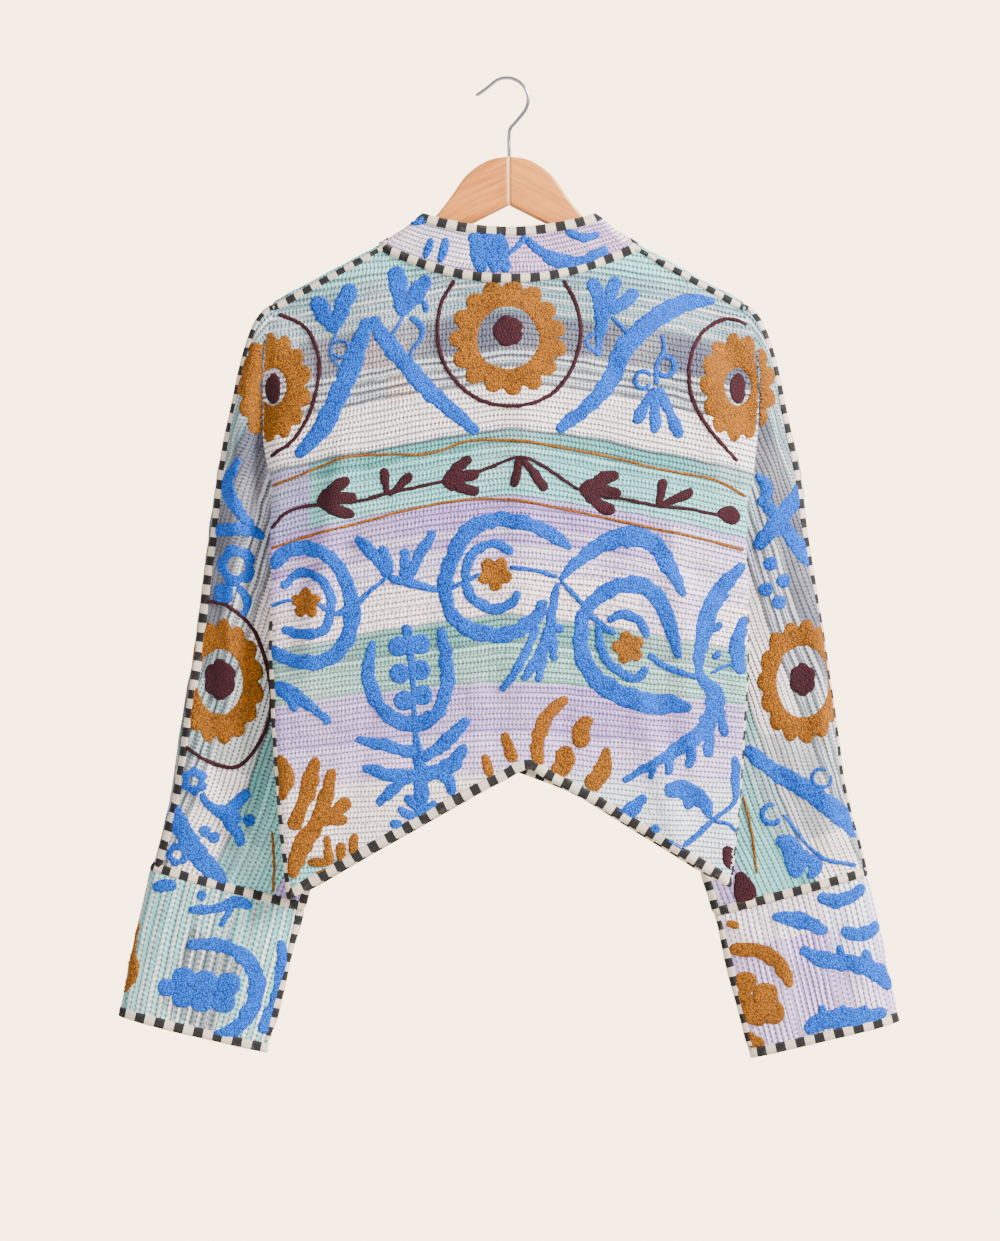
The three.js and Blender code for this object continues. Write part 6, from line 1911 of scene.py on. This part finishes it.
class Studio:
    """A pale floor, soft light from the upper right, and a camera square to the jacket's back."""

    MIDDLE = (-8.4, -503)
    DISTANCE = 3200
    HEIGHT = 1154
    FLOOR = -1.8

    def build(self) -> None:
        """Set up the world, the floor, the lights and the camera."""
        self.floor()
        self.world()
        self.lamp("key", (2.6, -1.7, 1.4), 1.0, 560)
        self.lamp("fill", (-2.2, -2.4, -0.4), 2.4, 40)
        self.lamp("rear", (0.4, 2.6, 0.8), 2.0, 90)
        camera = bpy.data.objects.new("camera", bpy.data.cameras.new("camera"))
        camera.data.sensor_width = 36
        camera.data.lens = 36 * self.DISTANCE / self.HEIGHT
        camera.location = (self.MIDDLE[0] * MM, -self.DISTANCE * MM, self.MIDDLE[1] * MM)
        camera.rotation_euler = (math.pi / 2, 0, 0)
        bpy.context.scene.collection.objects.link(camera)
        bpy.context.scene.camera = camera

    def floor(self) -> None:
        """Lay a round pale floor below the jacket."""
        ring = [(3 * math.cos(t), 3 * math.sin(t), self.FLOOR) for t in np.linspace(0, 2 * math.pi, 97)[:-1]]
        g = Graph("pale_floor")
        dust = g.noise(g.node("TexCoord", None, None, "Object"), 30, 3)
        paint = g.dress({"Base Color": g.blend(dust * 0.2, (0.83, 0.77, 0.66), (0.8, 0.73, 0.62)),
                         "Roughness": 0.8})
        floor = new_object("floor", np.array(ring) / MM, [tuple(range(len(ring)))], paint)

    @staticmethod
    def world() -> None:
        """Fill the room with soft pale light."""
        world = bpy.data.worlds.new("room")
        bpy.context.scene.world = world
        g = Graph("room", world)
        seen = g.node("LightPath")
        g.dress({"Color": g.blend(seen, (0.98, 0.97, 1.0), (1.0, 0.78, 0.50)), "Strength": seen * 5.6 + 0.95})

    @staticmethod
    def lamp(name: str, place: tuple[float, float, float], size: float, power: float) -> None:
        """Hang a soft lamp that faces the jacket."""
        light = bpy.data.lights.new(name, "AREA")
        light.size = size
        light.energy = power
        obj = bpy.data.objects.new(name, light)
        obj.location = place
        obj.rotation_euler = (Vector((0, 0, -0.5)) - obj.location).to_track_quat("-Z", "Y").to_euler()
        bpy.context.scene.collection.objects.link(obj)


# How far below the armpit the side tape starts, in millimetres
SIDE_TAPE_START = 50


def main() -> None:
    """Build the jacket, its hanger and the studio."""
    logging.basicConfig(level=logging.INFO, format="%(name)s: %(message)s")
    tailor = Tailor(Form())
    back, collar = tailor.back(), tailor.collar()
    fronts = {s.name: tailor.front(s) for s in SIDES}
    cuffs = {s.name: tailor.cuff(s) for s in SIDES}
    cloths = [back, *fronts.values(), *cuffs.values(), collar]
    finishes = {back.name: BODY_CLOTH, collar.name: COLLAR_CLOTH, cuffs["left"].name: LEFT_CUFF_CLOTH,
                cuffs["right"].name: RIGHT_CUFF_CLOTH}
    trimmer = Trimmer(cloths, material_of(BlockStripe()))
    riders: dict[str, list[bpy.types.Object]] = {c.name: [] for c in cloths}

    def trim(cloth: Cloth, make: Callable, node: str, line: Points, closed: bool = False) -> None:
        """Make one tape or binding in the place of its node."""
        obj = make(f"tape_{node}", line, closed)
        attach(obj, "root")
        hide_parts(node)
        riders[cloth.name].append(obj)
        LOG.info("sewed %s: %d faces", obj.name, len(obj.data.polygons))

    width = back.ids["back_body"].shape[1]
    at = divided(np.concatenate([tailor.body_knots,
                                 (2 * tailor.body_knots[-1] - tailor.body_knots)[::-1][1:]]),
                 tailor.BODY_STEP)
    neck = int(np.argmin(np.abs(at - SHOULDER_STEPS[-1])))
    top = back.edge("back_body", row=0)
    armpit = len(divided(ARM_ROWS, tailor.ROW_STEP)) - 1
    skip = round(SIDE_TAPE_START / tailor.ROW_STEP)
    trim(collar, trimmer.flat_tape, "neck_tape", collar.edge("collar", row=-1)[3:-3])
    trim(collar, trimmer.binding, "collar_binding", collar.edge("collar", row=0)[3:-3])
    trim(back, trimmer.binding, "hem_binding_back", back.edge("back_body", row=-1))
    for side in SIDES:
        end = side.name
        shoulder = top[neck:0:-1] if side.sign < 0 else top[width - 1 - neck:width - 1]
        sleeve = f"back_sleeve_{end}"
        over = mix(back.edge(sleeve, col=0), back.edge(sleeve, col=2), 0.8)
        trim(back, trimmer.flat_tape, f"shoulder_tape_{end}", np.vstack([shoulder, over]))
        seam = back.edge("back_body", col=0 if side.sign < 0 else -1)
        beside = back.edge("back_body", col=1 if side.sign < 0 else -2)
        seam = mix(seam, beside, 0.9 if side.sign < 0 else 0)[armpit + skip:]
        trim(back, trimmer.flat_tape, f"side_tape_{end}", seam)
        under = back.edge(f"back_sleeve_{end}", col=-1)[armpit + 10:]
        trim(back, trimmer.flat_tape, f"underarm_tape_{end}", under)
        cuff = cuffs[end]
        trim(cuff, trimmer.flat_tape, f"cuff_seam_tape_{end}", cuff.edge("cuff", row=0), True)
        trim(cuff, trimmer.flat_tape, f"cuff_underarm_tape_{end}", cuff.edge("cuff", col=0)[1:-3])
        trim(cuff, trimmer.binding, f"cuff_binding_{end}", cuff.edge("cuff", row=-1), True)
        front = fronts[end]
        opening = front.edge("body", col=-1)
        rise = collar.edge("collar", col=0 if side.sign < 0 else -1)
        trim(front, trimmer.binding, f"front_binding_{end}", np.vstack([rise[:-1], opening]))
        trim(front, trimmer.binding, f"hem_binding_front_{end}", front.edge("body", row=-1))

    needles = [(back, "back_body", "stitch_back", stitch_body, None)]
    for side in SIDES:
        needles.append((back, f"back_sleeve_{side.name}", f"stitch_sleeve_{side.name}", stitch_sleeve, side))
        needles.append((cuffs[side.name], "cuff", f"stitch_cuff_{side.name}", stitch_cuff, side))
    needles.append((collar, "collar", "stitch_collar", stitch_collar, None))
    for cloth, region, name, work, side in needles:
        needle = Needle(cloth.tree(region), name)
        work(needle, side) if side else work(needle)
        riders[cloth.name] += needle.finish()

    nodes = {back.name: "back", collar.name: "collar"}
    nodes.update({cuffs[s.name].name: f"cuff_{s.name}" for s in SIDES})
    nodes.update({fronts[s.name].name: f"front_{s.name}" for s in SIDES})
    for cloth in cloths:
        obj = cloth.build(material_of(finishes.get(cloth.name, BODY_CLOTH)))
        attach(obj, "root")
        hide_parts(nodes[cloth.name])
        measured = sum(p.area for p in obj.data.polygons)
        LOG.info("cut %s: %d faces, %.4f square metres", obj.name, len(obj.data.polygons), measured)

    hanger = Hanger()
    for side in SIDES:
        wood = hanger.arm(side)
        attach(wood, "root")
        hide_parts(f"hanger_arm_{side.name}")
    wire = hanger.hook()
    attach(wire, "root")
    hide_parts("hook")
    Studio().build()


if __name__ == "__main__":
    main()
